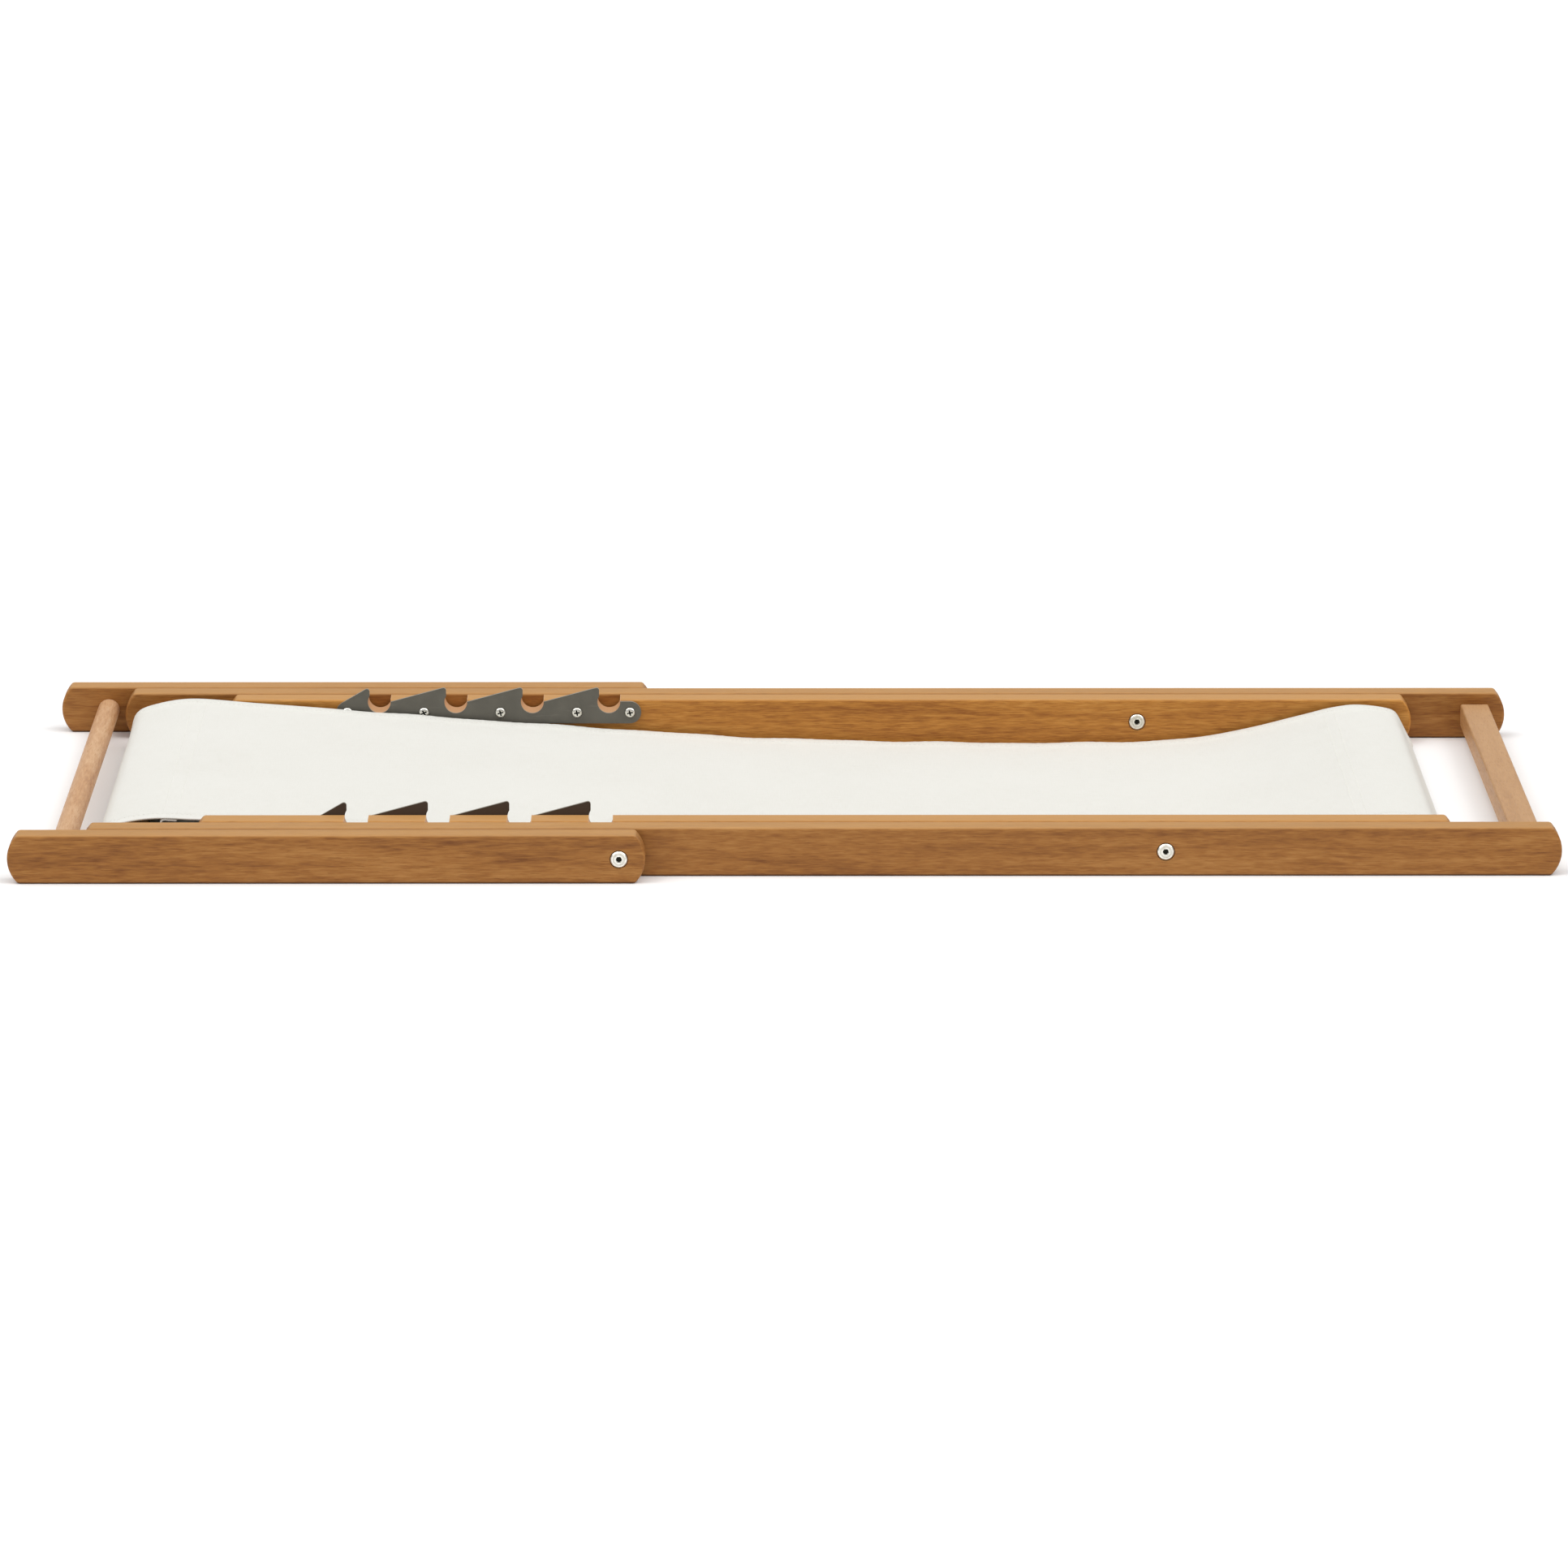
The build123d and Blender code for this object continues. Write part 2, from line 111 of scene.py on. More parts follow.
class Socket:
    """One output of a node, which takes part in Python arithmetic."""

    def __init__(self, writer: "NodeWriter", output: bpy.types.NodeSocket) -> None:
        """Keep the output and the tree that it belongs to."""
        self.writer = writer
        self.output = output

    def _math(self, operation: str, *values: Feed) -> "Socket":
        """Add a Math node on one or two values."""
        return self.writer.node("ShaderNodeMath", {"operation": operation}, dict(enumerate(values)))

    def __add__(self, other: Feed) -> "Socket":
        """Add a value."""
        return self._math("ADD", self, other)

    __radd__ = __add__

    def __sub__(self, other: Feed) -> "Socket":
        """Take a value away."""
        return self._math("SUBTRACT", self, other)

    def __rsub__(self, other: Feed) -> "Socket":
        """Take this from a value."""
        return self._math("SUBTRACT", other, self)

    def __mul__(self, other: Feed) -> "Socket":
        """Multiply by a value."""
        return self._math("MULTIPLY", self, other)

    __rmul__ = __mul__

    def __abs__(self) -> "Socket":
        """Drop the sign."""
        return self._math("ABSOLUTE", self)

    def sine(self) -> "Socket":
        """Take the sine of an angle in radians."""
        return self._math("SINE", self)

    def between(self, low: float, high: float) -> "Socket":
        """Rise smoothly from 0 at low to 1 at high, or fall where low is the larger."""
        settings = {"interpolation_type": "SMOOTHSTEP"}
        return self.writer.node("ShaderNodeMapRange", settings, {0: self, 1: low, 2: high})


class NodeWriter:
    """Adds nodes to a tree: settings first, then the values or links of the sockets."""

    def __init__(self, tree: bpy.types.NodeTree) -> None:
        """Keep the tree that is written to."""
        self.tree = tree

    @staticmethod
    def _pick(sockets: bpy.types.bpy_prop_collection, key: Key) -> bpy.types.NodeSocket:
        """Find a socket by its place, or by its name among those in use."""
        named = (socket for socket in sockets if socket.enabled and socket.name == key)
        return sockets[key] if isinstance(key, int) else next(named)

    def feed(self, target: bpy.types.NodeSocket, value: Feed) -> None:
        """Link or set one input.

        Args:
            target: The input socket.
            value: Another node's output, or a constant.
        """
        if isinstance(value, Socket):
            self.tree.links.new(value.output, target)
        else:
            target.default_value = value

    def node(
        self,
        kind: str,
        settings: Mapping[str, Any] = {},
        inputs: Mapping[Key, Feed] = {},
        output: Key = 0,
    ) -> Socket:
        """Add one node.

        Args:
            kind: The node's type.
            settings: Its properties.
            inputs: Values or links, by the socket's place or name.
            output: The output to return, by its place or name.

        Returns:
            The chosen output.
        """
        made = self.tree.nodes.new(kind)
        for name, value in settings.items():
            setattr(made, name, value)
        for key, value in inputs.items():
            self.feed(self._pick(made.inputs, key), value)
        return Socket(self, self._pick(made.outputs, output))


class Shader(NodeWriter):
    """A material under construction, with its Principled shader ready."""

    def __init__(self, name: str, **constants: Feed) -> None:
        """Start a material.

        Args:
            name: The material's name.
            **constants: Values that are the same all over, by socket name with _ for a space.
        """
        self.material = bpy.data.materials.new(name)
        self.material.use_nodes = True
        super().__init__(self.material.node_tree)
        self.surface = self.tree.nodes["Principled BSDF"]
        for key, value in constants.items():
            self.surface.inputs[key.replace("_", " ")].default_value = value

    def vary(self, socket: str, value: Socket) -> None:
        """Link something that changes over the surface to the Principled shader."""
        self.feed(self.surface.inputs[socket], value)

    def place(self, kind: str = "Object") -> Socket:
        """Return the surface's own coordinates, by default the chair's."""
        return self.node("ShaderNodeTexCoord", output=kind)

    def parts(self, vector: Socket) -> tuple[Socket, Socket, Socket]:
        """Split a vector into its three numbers."""
        outputs = self.node("ShaderNodeSeparateXYZ", {}, {0: vector}).output.node.outputs
        return tuple(Socket(self, outputs[axis]) for axis in range(3))

    def vector(self, operation: str, first: Feed, second: Feed, output: str = "Vector") -> Socket:
        """Add a Vector Math node on two vectors."""
        inputs = {0: first, 1: second}
        return self.node("ShaderNodeVectorMath", {"operation": operation}, inputs, output)

    def noise(self, vector: Socket, scales: Lumps, detail: float = 2.0, warp: float = 0.0) -> Socket:
        """Add a noise pattern.

        Args:
            vector: Coordinates.
            scales: How many lumps to the metre, the same all round or along each axis.
            detail: Octaves of finer noise.
            warp: Distortion.

        Returns:
            The noise value, around 0.5.
        """
        each = scales if isinstance(scales, tuple) else (scales,) * 3
        scaled = self.vector("MULTIPLY", vector, each)
        inputs = {"Vector": scaled, "Scale": 1.0, "Detail": detail, "Distortion": warp}
        return self.node("ShaderNodeTexNoise", {}, inputs)

    def reach(self, place: Socket, x: float, z: float) -> Socket:
        """Measure the distance from a crosswise axis, given its place along the chair and its height."""
        level = self.vector("MULTIPLY", place, (1.0, 0.0, 1.0))
        return self.vector("DISTANCE", level, (x, 0.0, z), "Value")

    def blend(self, share: Feed, first: Feed, second: Feed) -> Socket:
        """Mix two colours.

        Args:
            share: How much of the second colour, from 0 to 1.
            first: A colour socket, or a constant colour.
            second: A colour socket, or a constant colour.

        Returns:
            The mixed colour.
        """
        ends = [opaque(end) if isinstance(end, tuple) else end for end in (first, second)]
        inputs = {"Factor": share, "A": ends[0], "B": ends[1]}
        return self.node("ShaderNodeMix", {"data_type": "RGBA"}, inputs, "Result")

    def relief(self, height: Socket, depth: float, strength: float = 1.0) -> None:
        """Raise the surface by a pattern from 0 to 1, where 1 stands as high as the depth."""
        inputs = {"Strength": strength, "Distance": depth, "Height": height}
        self.vary("Normal", self.node("ShaderNodeBump", {}, inputs))


@dataclass(frozen=True)
class Finish:
    """What every finish has: a name, and a way to become a material.

    Attributes:
        name: The material's name.
        CONSTANTS: Values that are the same all over, by socket name with _ for a space.
    """

    name: str

    CONSTANTS: ClassVar[Mapping[str, Feed]] = {}

    def paint(self, shader: Shader) -> None:
        """Lay out the patterns of the finish.

        Args:
            shader: The material under construction.
        """
        raise NotImplementedError

    def material(self) -> bpy.types.Material:
        """Make the material.

        Returns:
            The finished material.
        """
        shader = Shader(self.name, **self.CONSTANTS)
        self.paint(shader)
        return shader.material


@dataclass(frozen=True)
class OiledWood(Finish):
    """Oiled hardwood: wavering growth bands, fine fibres, open pores and darker end grain.

    Attributes:
        grain: The fibres' direction.
        light: Colour of the pale growth.
        body: Main colour.
        dark: Colour of the late growth and the pores.
        painted_top_light: Colour that the upper faces are painted towards, a painted top light.
        top_light_share: How far the upper faces are painted towards the painted top light.
        contrast: How far the bands leave the main colour.
        painted_arris_highlight: How much paler the band along the upper arrises is painted, a painted
            highlight.
        painted_contact_shadow: How much darker the lower arrises are painted, a painted contact shadow where
            they lie on the floor.
        contact_shadow_colour: Colour of the painted contact shadow on the lower arrises.
        top: Height of the upper faces.
        notches: Half-round notches as (x, z, radius).
        bare: Colour of the freshly cut wood in the notches.
    """

    grain: Grain
    light: Colour
    body: Colour
    dark: Colour
    painted_top_light: Colour
    top_light_share: float = 0.5
    contrast: float = 1.0
    painted_arris_highlight: float = 0.0
    painted_contact_shadow: float = 0.8
    contact_shadow_colour: Colour = srgb(52, 33, 20)
    top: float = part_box("back_rail_left")[1].z
    notches: tuple[Point, ...] = ()
    bare: Colour = (0.6, 0.4, 0.24)

    CONSTANTS = {"Specular_IOR_Level": 0.28}

    # Places of the dark, main and pale growth on the scale of tones
    TONES = (0.22, 0.5, 0.78)

    # Height of the painted highlight band at the upper arrises, height limits of the painted contact shadow
    # at the lower ones, and limits of how far it faces down
    ARRIS_HIGHLIGHT_BAND = 3.2 * MM
    CONTACT_SHADOW_BAND = (2.4 * MM, 0.6 * MM)
    CONTACT_SHADOW_FACING = (-0.97, -0.7)

    # Distances outside a notch's wall between which its bare wood ends
    NOTCH_SKIN = (0.5 * MM, 0.2 * MM)

    def paint(self, shader: Shader) -> None:
        """Lay out the patterns of the finish.

        Args:
            shader: The material under construction.
        """
        place = shader.place()
        waver = shader.noise(place, self.grain.stretch(4.0, 9.0), detail=2.0)
        bent = shader.vector("ADD", place, waver * 0.05)
        growth = shader.noise(bent, self.grain.stretch(1.8, 120.0), detail=3.0, warp=0.3)
        cloud = shader.noise(place, self.grain.stretch(3.0, 18.0), detail=2.0)
        fleck = shader.noise(place, self.grain.stretch(60.0, 380.0), detail=2.0)
        fibre = shader.noise(place, self.grain.stretch(70.0, 900.0), detail=3.0)
        pore = shader.noise(place, self.grain.stretch(85.0, 1500.0), detail=1.0).between(0.58, 0.7)

        tone = 0.5 + self.contrast * (
            (growth - 0.5) * 0.6 + (fleck - 0.5) * 0.36 + (fibre - 0.5) * 0.5 + (cloud - 0.5) * 0.45
        )
        colour = shader.node("ShaderNodeValToRGB", {}, {0: tone})
        ramp = colour.output.node.color_ramp.elements
        ramp.new(0.5)
        for stop, position, shade in zip(ramp, self.TONES, (self.dark, self.body, self.light)):
            stop.position = position
            stop.color = opaque(shade)
        colour = shader.blend(pore * 0.4, colour, self.dark)
        facing = shader.parts(shader.place("Normal"))
        # Painted top light: faces that point up are painted paler, as if lit from above.
        colour = shader.blend(facing[2].between(0.3, 1.0) * self.top_light_share, colour, self.painted_top_light)
        fibre_end = facing[self.grain.value]
        end_grain = (fibre_end * fibre_end).between(0.25, 0.9)
        colour = shader.blend(end_grain * 0.3, colour, self.dark)
        if self.painted_arris_highlight:
            height = shader.parts(place)[2]
            # Painted highlight: the top face and the band just below it are painted paler.
            upper = height.between(self.top - self.ARRIS_HIGHLIGHT_BAND, self.top)
            # Painted contact shadow: the lowest band of downward-facing surface is painted dark.
            lower = height.between(*self.CONTACT_SHADOW_BAND) * facing[2].between(*self.CONTACT_SHADOW_FACING)
            colour = shader.blend(upper * self.painted_arris_highlight, colour, self.light)
            colour = shader.blend(lower * self.painted_contact_shadow, colour, self.contact_shadow_colour)
        for x, z, radius in self.notches:
            wall = (shader.reach(place, x, z) - radius).between(*self.NOTCH_SKIN)
            colour = shader.blend(wall * 0.75, colour, self.bare)
        shader.vary("Base Color", colour)
        shader.vary("Roughness", 0.46 + (fibre - 0.5) * 0.35 + pore * 0.15 + end_grain * 0.12)
        shader.relief(fibre * 0.6 - pore * 0.5, depth=0.25 * MM, strength=0.6)


@dataclass(frozen=True)
class Canvas(Finish):
    """Off-white plain-weave cotton canvas, on the cloth's own UV map in metres.

    Attributes:
        colour: Colour of the cloth.
        shade: Colour between the threads and in the slubs.
        thread: Pitch of the weave.
        glow: Share of the light that passes through the surface.
    """

    colour: Colour
    shade: Colour
    thread: float = 0.9 * MM
    glow: float = 0.22

    CONSTANTS = {"Sheen_Weight": 0.1, "Sheen_Roughness": 0.5, "Specular_IOR_Level": 0.25}

    def paint(self, shader: Shader) -> None:
        """Lay out the patterns of the finish.

        Args:
            shader: The material under construction.
        """
        cloth = shader.place("UV")
        across, along, _ = shader.parts(cloth)
        turn = math.pi / self.thread
        weave = (across * turn).sine() * (along * turn).sine()
        slub = shader.noise(cloth, (60.0, 1100.0, 1.0), detail=2.0)
        yarn = shader.noise(cloth, (1100.0, 60.0, 1.0), detail=2.0)
        cloud = shader.noise(cloth, (9.0, 7.0, 1.0), detail=3.0)
        threads = (slub + yarn) * 0.5
        shaded = (threads - 0.42) * 0.9 + (cloud - 0.5) * 0.35 + 0.12
        shader.vary("Base Color", shader.blend(shaded.between(0.0, 1.0), self.colour, self.shade))
        shader.vary("Roughness", 0.82 + threads * 0.16)
        shader.relief(weave * 0.5 + threads * 0.6, depth=0.22 * MM, strength=0.7)
        share = self.glow + (threads - 0.5) * 0.2
        solid = Socket(shader, shader.surface.outputs["BSDF"])
        passing = shader.node("ShaderNodeBsdfTranslucent", {}, {"Color": opaque(self.colour)})
        mixed = shader.node("ShaderNodeMixShader", {}, {0: share, 1: solid, 2: passing})
        shader.feed(shader.tree.nodes["Material Output"].inputs["Surface"], mixed)


@dataclass(frozen=True)
class CoatedSteel(Finish):
    """Dark coated plate steel, faintly mottled, with fine handling marks.

    Attributes:
        colour: Colour of the coat.
        rub: Colour where the coat is rubbed.
        edge: Colour of the sheared edges, painted lighter as bare steel and as a painted highlight.
        back: Colour of the painted shade on the side that faces out of the chair, which lies on the rail.
    """

    colour: Colour
    rub: Colour
    edge: Colour
    back: Colour

    CONSTANTS = {"Specular_IOR_Level": 0.45}

    def paint(self, shader: Shader) -> None:
        """Lay out the patterns of the finish.

        Args:
            shader: The material under construction.
        """
        place = shader.place()
        mottle = shader.noise(place, 55.0, detail=3.0)
        peel = shader.noise(place, 900.0, detail=2.0)
        marks = shader.noise(place, (35.0, 900.0, 420.0), detail=2.0).between(0.64, 0.78)
        colour = shader.blend((mottle - 0.3).between(0.0, 0.5) * 0.35, self.colour, self.rub)
        colour = shader.blend(marks * 0.45, colour, self.rub)
        # Painted shade: the plates' sides that face out of the chair are painted darker.
        facing = shader.parts(shader.place("Normal"))[1]
        outward = facing * shader.parts(place)[1]
        colour = shader.blend(outward.between(0.0, 0.1), colour, self.back)
        # Bare steel and painted highlight: faces that don't point across the chair are painted lighter.
        edge = 1 - (facing * facing).between(0.3, 0.95)
        shader.vary("Base Color", shader.blend(edge * 0.7, colour, self.edge))
        shader.vary("Roughness", 0.42 + (mottle - 0.5) * 0.3 - marks * 0.1)
        shader.relief(peel, depth=0.06 * MM, strength=0.5)


@dataclass(frozen=True)
class PlatedSteel(Finish):
    """Bright zinc plate with cloudy patches, turned faces, and driver sockets with painted shade in them.

    Attributes:
        colour: Colour of the plate.
        dull: Colour of the cloudy patches.
        recess_shade_colour: Colour of the painted shade in the sockets.
        axis: Place along the chair and height of a turned piece's axis.
        socket: Radius of its socket's floor, which takes the painted shade.
        groove: Radius of the dull ring on its face.
    """

    colour: Colour
    dull: Colour
    recess_shade_colour: Colour
    axis: Optional[tuple[float, float]] = None
    socket: float = 2.3 * MM
    groove: float = 4.6 * MM

    CONSTANTS = {"Metallic": 1.0}

    # Fine rings from the lathe, in radians to the metre
    TURNING = 9000.0

    def paint(self, shader: Shader) -> None:
        """Lay out the patterns of the finish.

        Args:
            shader: The material under construction.
        """
        place = shader.place()
        cloud = shader.noise(place, 420.0, detail=3.0)
        scuff = shader.noise(place, 2600.0, detail=2.0)
        colour = shader.blend(cloud.between(0.35, 0.85), self.colour, self.dull)
        rough = 0.22 + cloud * 0.16 + (scuff - 0.5) * 0.1
        if self.axis:
            radius = shader.reach(place, *self.axis)
            hollow = radius.between(self.socket + 0.25 * MM, self.socket)
            ring = abs(radius - self.groove).between(1.1 * MM, 0.5 * MM)
            colour = shader.blend(ring * 0.5, colour, self.dull)
            rough = rough + ring * 0.2 + (radius * self.TURNING).sine() * 0.04
        else:
            hollow = shader.node("ShaderNodeAttribute", {"attribute_name": "hollow"}, output="Fac")
        # Painted shade: the socket floors, found by radius or by the hollow mark, are painted dark.
        shader.vary("Base Color", shader.blend(hollow, colour, self.recess_shade_colour))
        shader.vary("Roughness", rough + hollow * 0.4)
        shader.relief(scuff, depth=0.03 * MM, strength=0.4)


@dataclass(frozen=True)
class MouldedNylon(Finish):
    """Plain moulded nylon with a faint flow pattern.

    Attributes:
        colour: Main colour.
        flow: Colour of the flow marks.
    """

    colour: Colour
    flow: Colour

    CONSTANTS = {"Specular_IOR_Level": 0.4}

    def paint(self, shader: Shader) -> None:
        """Lay out the patterns of the finish.

        Args:
            shader: The material under construction.
        """
        place = shader.place()
        swirl = shader.noise(place, 130.0, detail=2.0, warp=1.5)
        grit = shader.noise(place, 1500.0, detail=1.0)
        shader.vary("Base Color", shader.blend(swirl, self.colour, self.flow))
        shader.vary("Roughness", 0.5 + (grit - 0.5) * 0.3)
        shader.relief(grit, depth=0.04 * MM, strength=0.4)


@dataclass(frozen=True)
class SewingThread(Finish):
    """Twisted cotton thread.

    Attributes:
        colour: Main colour.
        twist: Colour between the plies.
    """

    colour: Colour
    twist: Colour

    CONSTANTS = {"Specular_IOR_Level": 0.2}

    # Twist of the plies, in radians to the metre
    TWIST_RATE = 5200.0

    def paint(self, shader: Shader) -> None:
        """Lay out the patterns of the finish.

        Args:
            shader: The material under construction.
        """
        place = shader.place()
        east, north, up = shader.parts(place)
        plies = ((east + north + up) * self.TWIST_RATE).sine()
        fuzz = shader.noise(place, 1800.0, detail=2.0)
        shader.vary("Base Color", shader.blend(plies.between(-0.6, 0.9), self.twist, self.colour))
        shader.vary("Roughness", 0.7 + fuzz * 0.2)
        shader.relief(plies * 0.5 + fuzz, depth=0.05 * MM, strength=0.5)


class RepeatTree(NodeWriter):
    """A Geometry Nodes tree that repeats something, with named sizes."""

    def __init__(self, name: str, sizes: Mapping[str, float]) -> None:
        """Start a tree.

        Args:
            name: The tree's name.
            sizes: Named inputs and their values.
        """
        super().__init__(bpy.data.node_groups.new(name, "GeometryNodeTree"))
        self.sizes = dict(sizes)
        face = self.tree.interface
        face.new_socket("Geometry", in_out="INPUT", socket_type="NodeSocketGeometry")
        for size in self.sizes:
            face.new_socket(size, in_out="INPUT", socket_type="NodeSocketFloat")
        face.new_socket("Geometry", in_out="OUTPUT", socket_type="NodeSocketGeometry")
        self.source = self.tree.nodes.new("NodeGroupInput")

    def input(self, name: str) -> Socket:
        """Return one of the tree's own inputs."""
        return Socket(self, self._pick(self.source.outputs, name))

    def facing(self, sideways: Socket) -> Socket:
        """Turn things so that their Z axis points the way that their spot faces.

        Args:
            sideways: Direction of their X axis.

        Returns:
            The rotation.
        """
        settings = {"data_type": "FLOAT_VECTOR"}
        up = self.node("GeometryNodeInputNamedAttribute", settings, {"Name": "facing"}, "Attribute")
        axes = {"primary_axis": "Z", "secondary_axis": "X"}
        return self.node("FunctionNodeAxesToRotation", axes, {0: up, 1: sideways})

    def close(self, spots: Socket, thing: Socket, turn: Socket, size: Socket, finish: Finish) -> None:
        """End the tree with a copy of a thing on every spot, as plain geometry.

        Args:
            spots: Points or curve points.
            thing: Geometry of the thing.
            turn: Rotation of each copy.
            size: Scale of each copy.
            finish: Finish of the copies.
        """
        inputs = {"Points": spots, "Instance": thing, "Rotation": turn, "Scale": size}
        laid = self.node("GeometryNodeInstanceOnPoints", {}, inputs)
        plain = self.node("GeometryNodeRealizeInstances", {}, {0: laid})
        dressing = {"Geometry": plain, "Material": finish.material()}
        out = self.tree.nodes.new("NodeGroupOutput")
        self.feed(out.inputs[0], self.node("GeometryNodeSetMaterial", {}, dressing))

    def run(
        self,
        name: str,
        spots: Sequence[Point],
        facing: Sequence[Point],
        lines: Sequence[tuple[int, int]] = (),
    ) -> Piece:
        """Repeat the thing on spots or along lines, as one plain mesh piece.

        Args:
            name: Name of the piece.
            spots: Where the copies go, or the corners of the lines that they follow.
            facing: The way that each spot faces.
            lines: The lines, as pairs of corners.

        Returns:
            The new piece, at the origin.
        """
        mesh = bpy.data.meshes.new("carrier")
        mesh.from_pydata(spots, lines, [])
        mesh.attributes.new("facing", "FLOAT_VECTOR", "POINT").data.foreach_set("vector", np.ravel(facing))
        carrier = shown(mesh, "carrier")
        modifier = carrier.modifiers.new("repeat", "NODES")
        modifier.node_group = self.tree
        for item in self.tree.interface.items_tree:
            if item.in_out == "INPUT" and item.name in self.sizes:
                modifier[item.identifier] = self.sizes[item.name]
        piece = settled(carrier, name)
        bpy.data.objects.remove(carrier)
        return piece


def settled(source: Piece, name: str) -> Piece:
    """Turn an object with live modifiers into a plain mesh object.

    Args:
        source: The object with its modifiers.
        name: Name of the new object.

    Returns:
        The new object, with smooth shading.
    """
    graph = bpy.context.evaluated_depsgraph_get()
    mesh = bpy.data.meshes.new_from_object(source.evaluated_get(graph), depsgraph=graph)
    mesh.name = name
    mesh.polygons.foreach_set("use_smooth", [True] * len(mesh.polygons))
    return shown(mesh, name)


def shown(mesh: bpy.types.Mesh, name: str) -> Piece:
    """Put a mesh into the scene.

    Args:
        mesh: The mesh.
        name: Name of the object.

    Returns:
        The object, at the origin.
    """
    piece = bpy.data.objects.new(name, mesh)
    bpy.context.scene.collection.objects.link(piece)
    return piece


def smooth_line(points: Sequence[tuple[float, float]], step: float) -> np.ndarray:
    """Run a smooth line through points, with samples about a step apart.

    Args:
        points: Places that the line passes through.
        step: Spacing of the samples.

    Returns:
        The samples, one row each.
    """
    p = np.array(points, float)
    p = np.vstack([2 * p[0] - p[1], p, 2 * p[-1] - p[-2]])
    gaps = np.linalg.norm(np.diff(p, axis=0), axis=1) ** 0.5
    samples = []
    for i in range(1, len(p) - 2):
        before, here, after = gaps[i - 1 : i + 2]
        slope = (p[i + 1] - p[i]) / here
        leave = (p[i] - p[i - 1]) / before - (p[i + 1] - p[i - 1]) / (before + here) + slope
        reach = slope - (p[i + 2] - p[i]) / (here + after) + (p[i + 2] - p[i + 1]) / after
        count = max(2, round(float(np.linalg.norm(p[i + 1] - p[i])) / step))
        t = np.arange(count)[:, None] / count
        samples.append(
            (2 * t**3 - 3 * t**2 + 1) * p[i]
            + (t**3 - 2 * t**2 + t) * leave * here
            + (3 * t**2 - 2 * t**3) * p[i + 1]
            + (t**3 - t**2) * reach * here
        )
    return np.vstack(samples + [p[-2:-1]])


def distances(line: np.ndarray) -> np.ndarray:
    """Measure how far along a line each of its points lies."""
    return np.concatenate([[0.0], np.cumsum(np.linalg.norm(np.diff(line, axis=0), axis=1))])


def axis_of(node: str) -> tuple[float, float]:
    """Find the place along the chair and the height of a round crosswise CAD piece's axis."""
    low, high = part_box(node)
    return (low.x + high.x) / 2, (low.z + high.z) / 2


def rise(values: np.ndarray, start: float, run: float) -> np.ndarray:
    """Climb from 0 at the start to 1 a run further on, or further back where the run is negative."""
    return np.clip((values - start) / run, 0, 1)


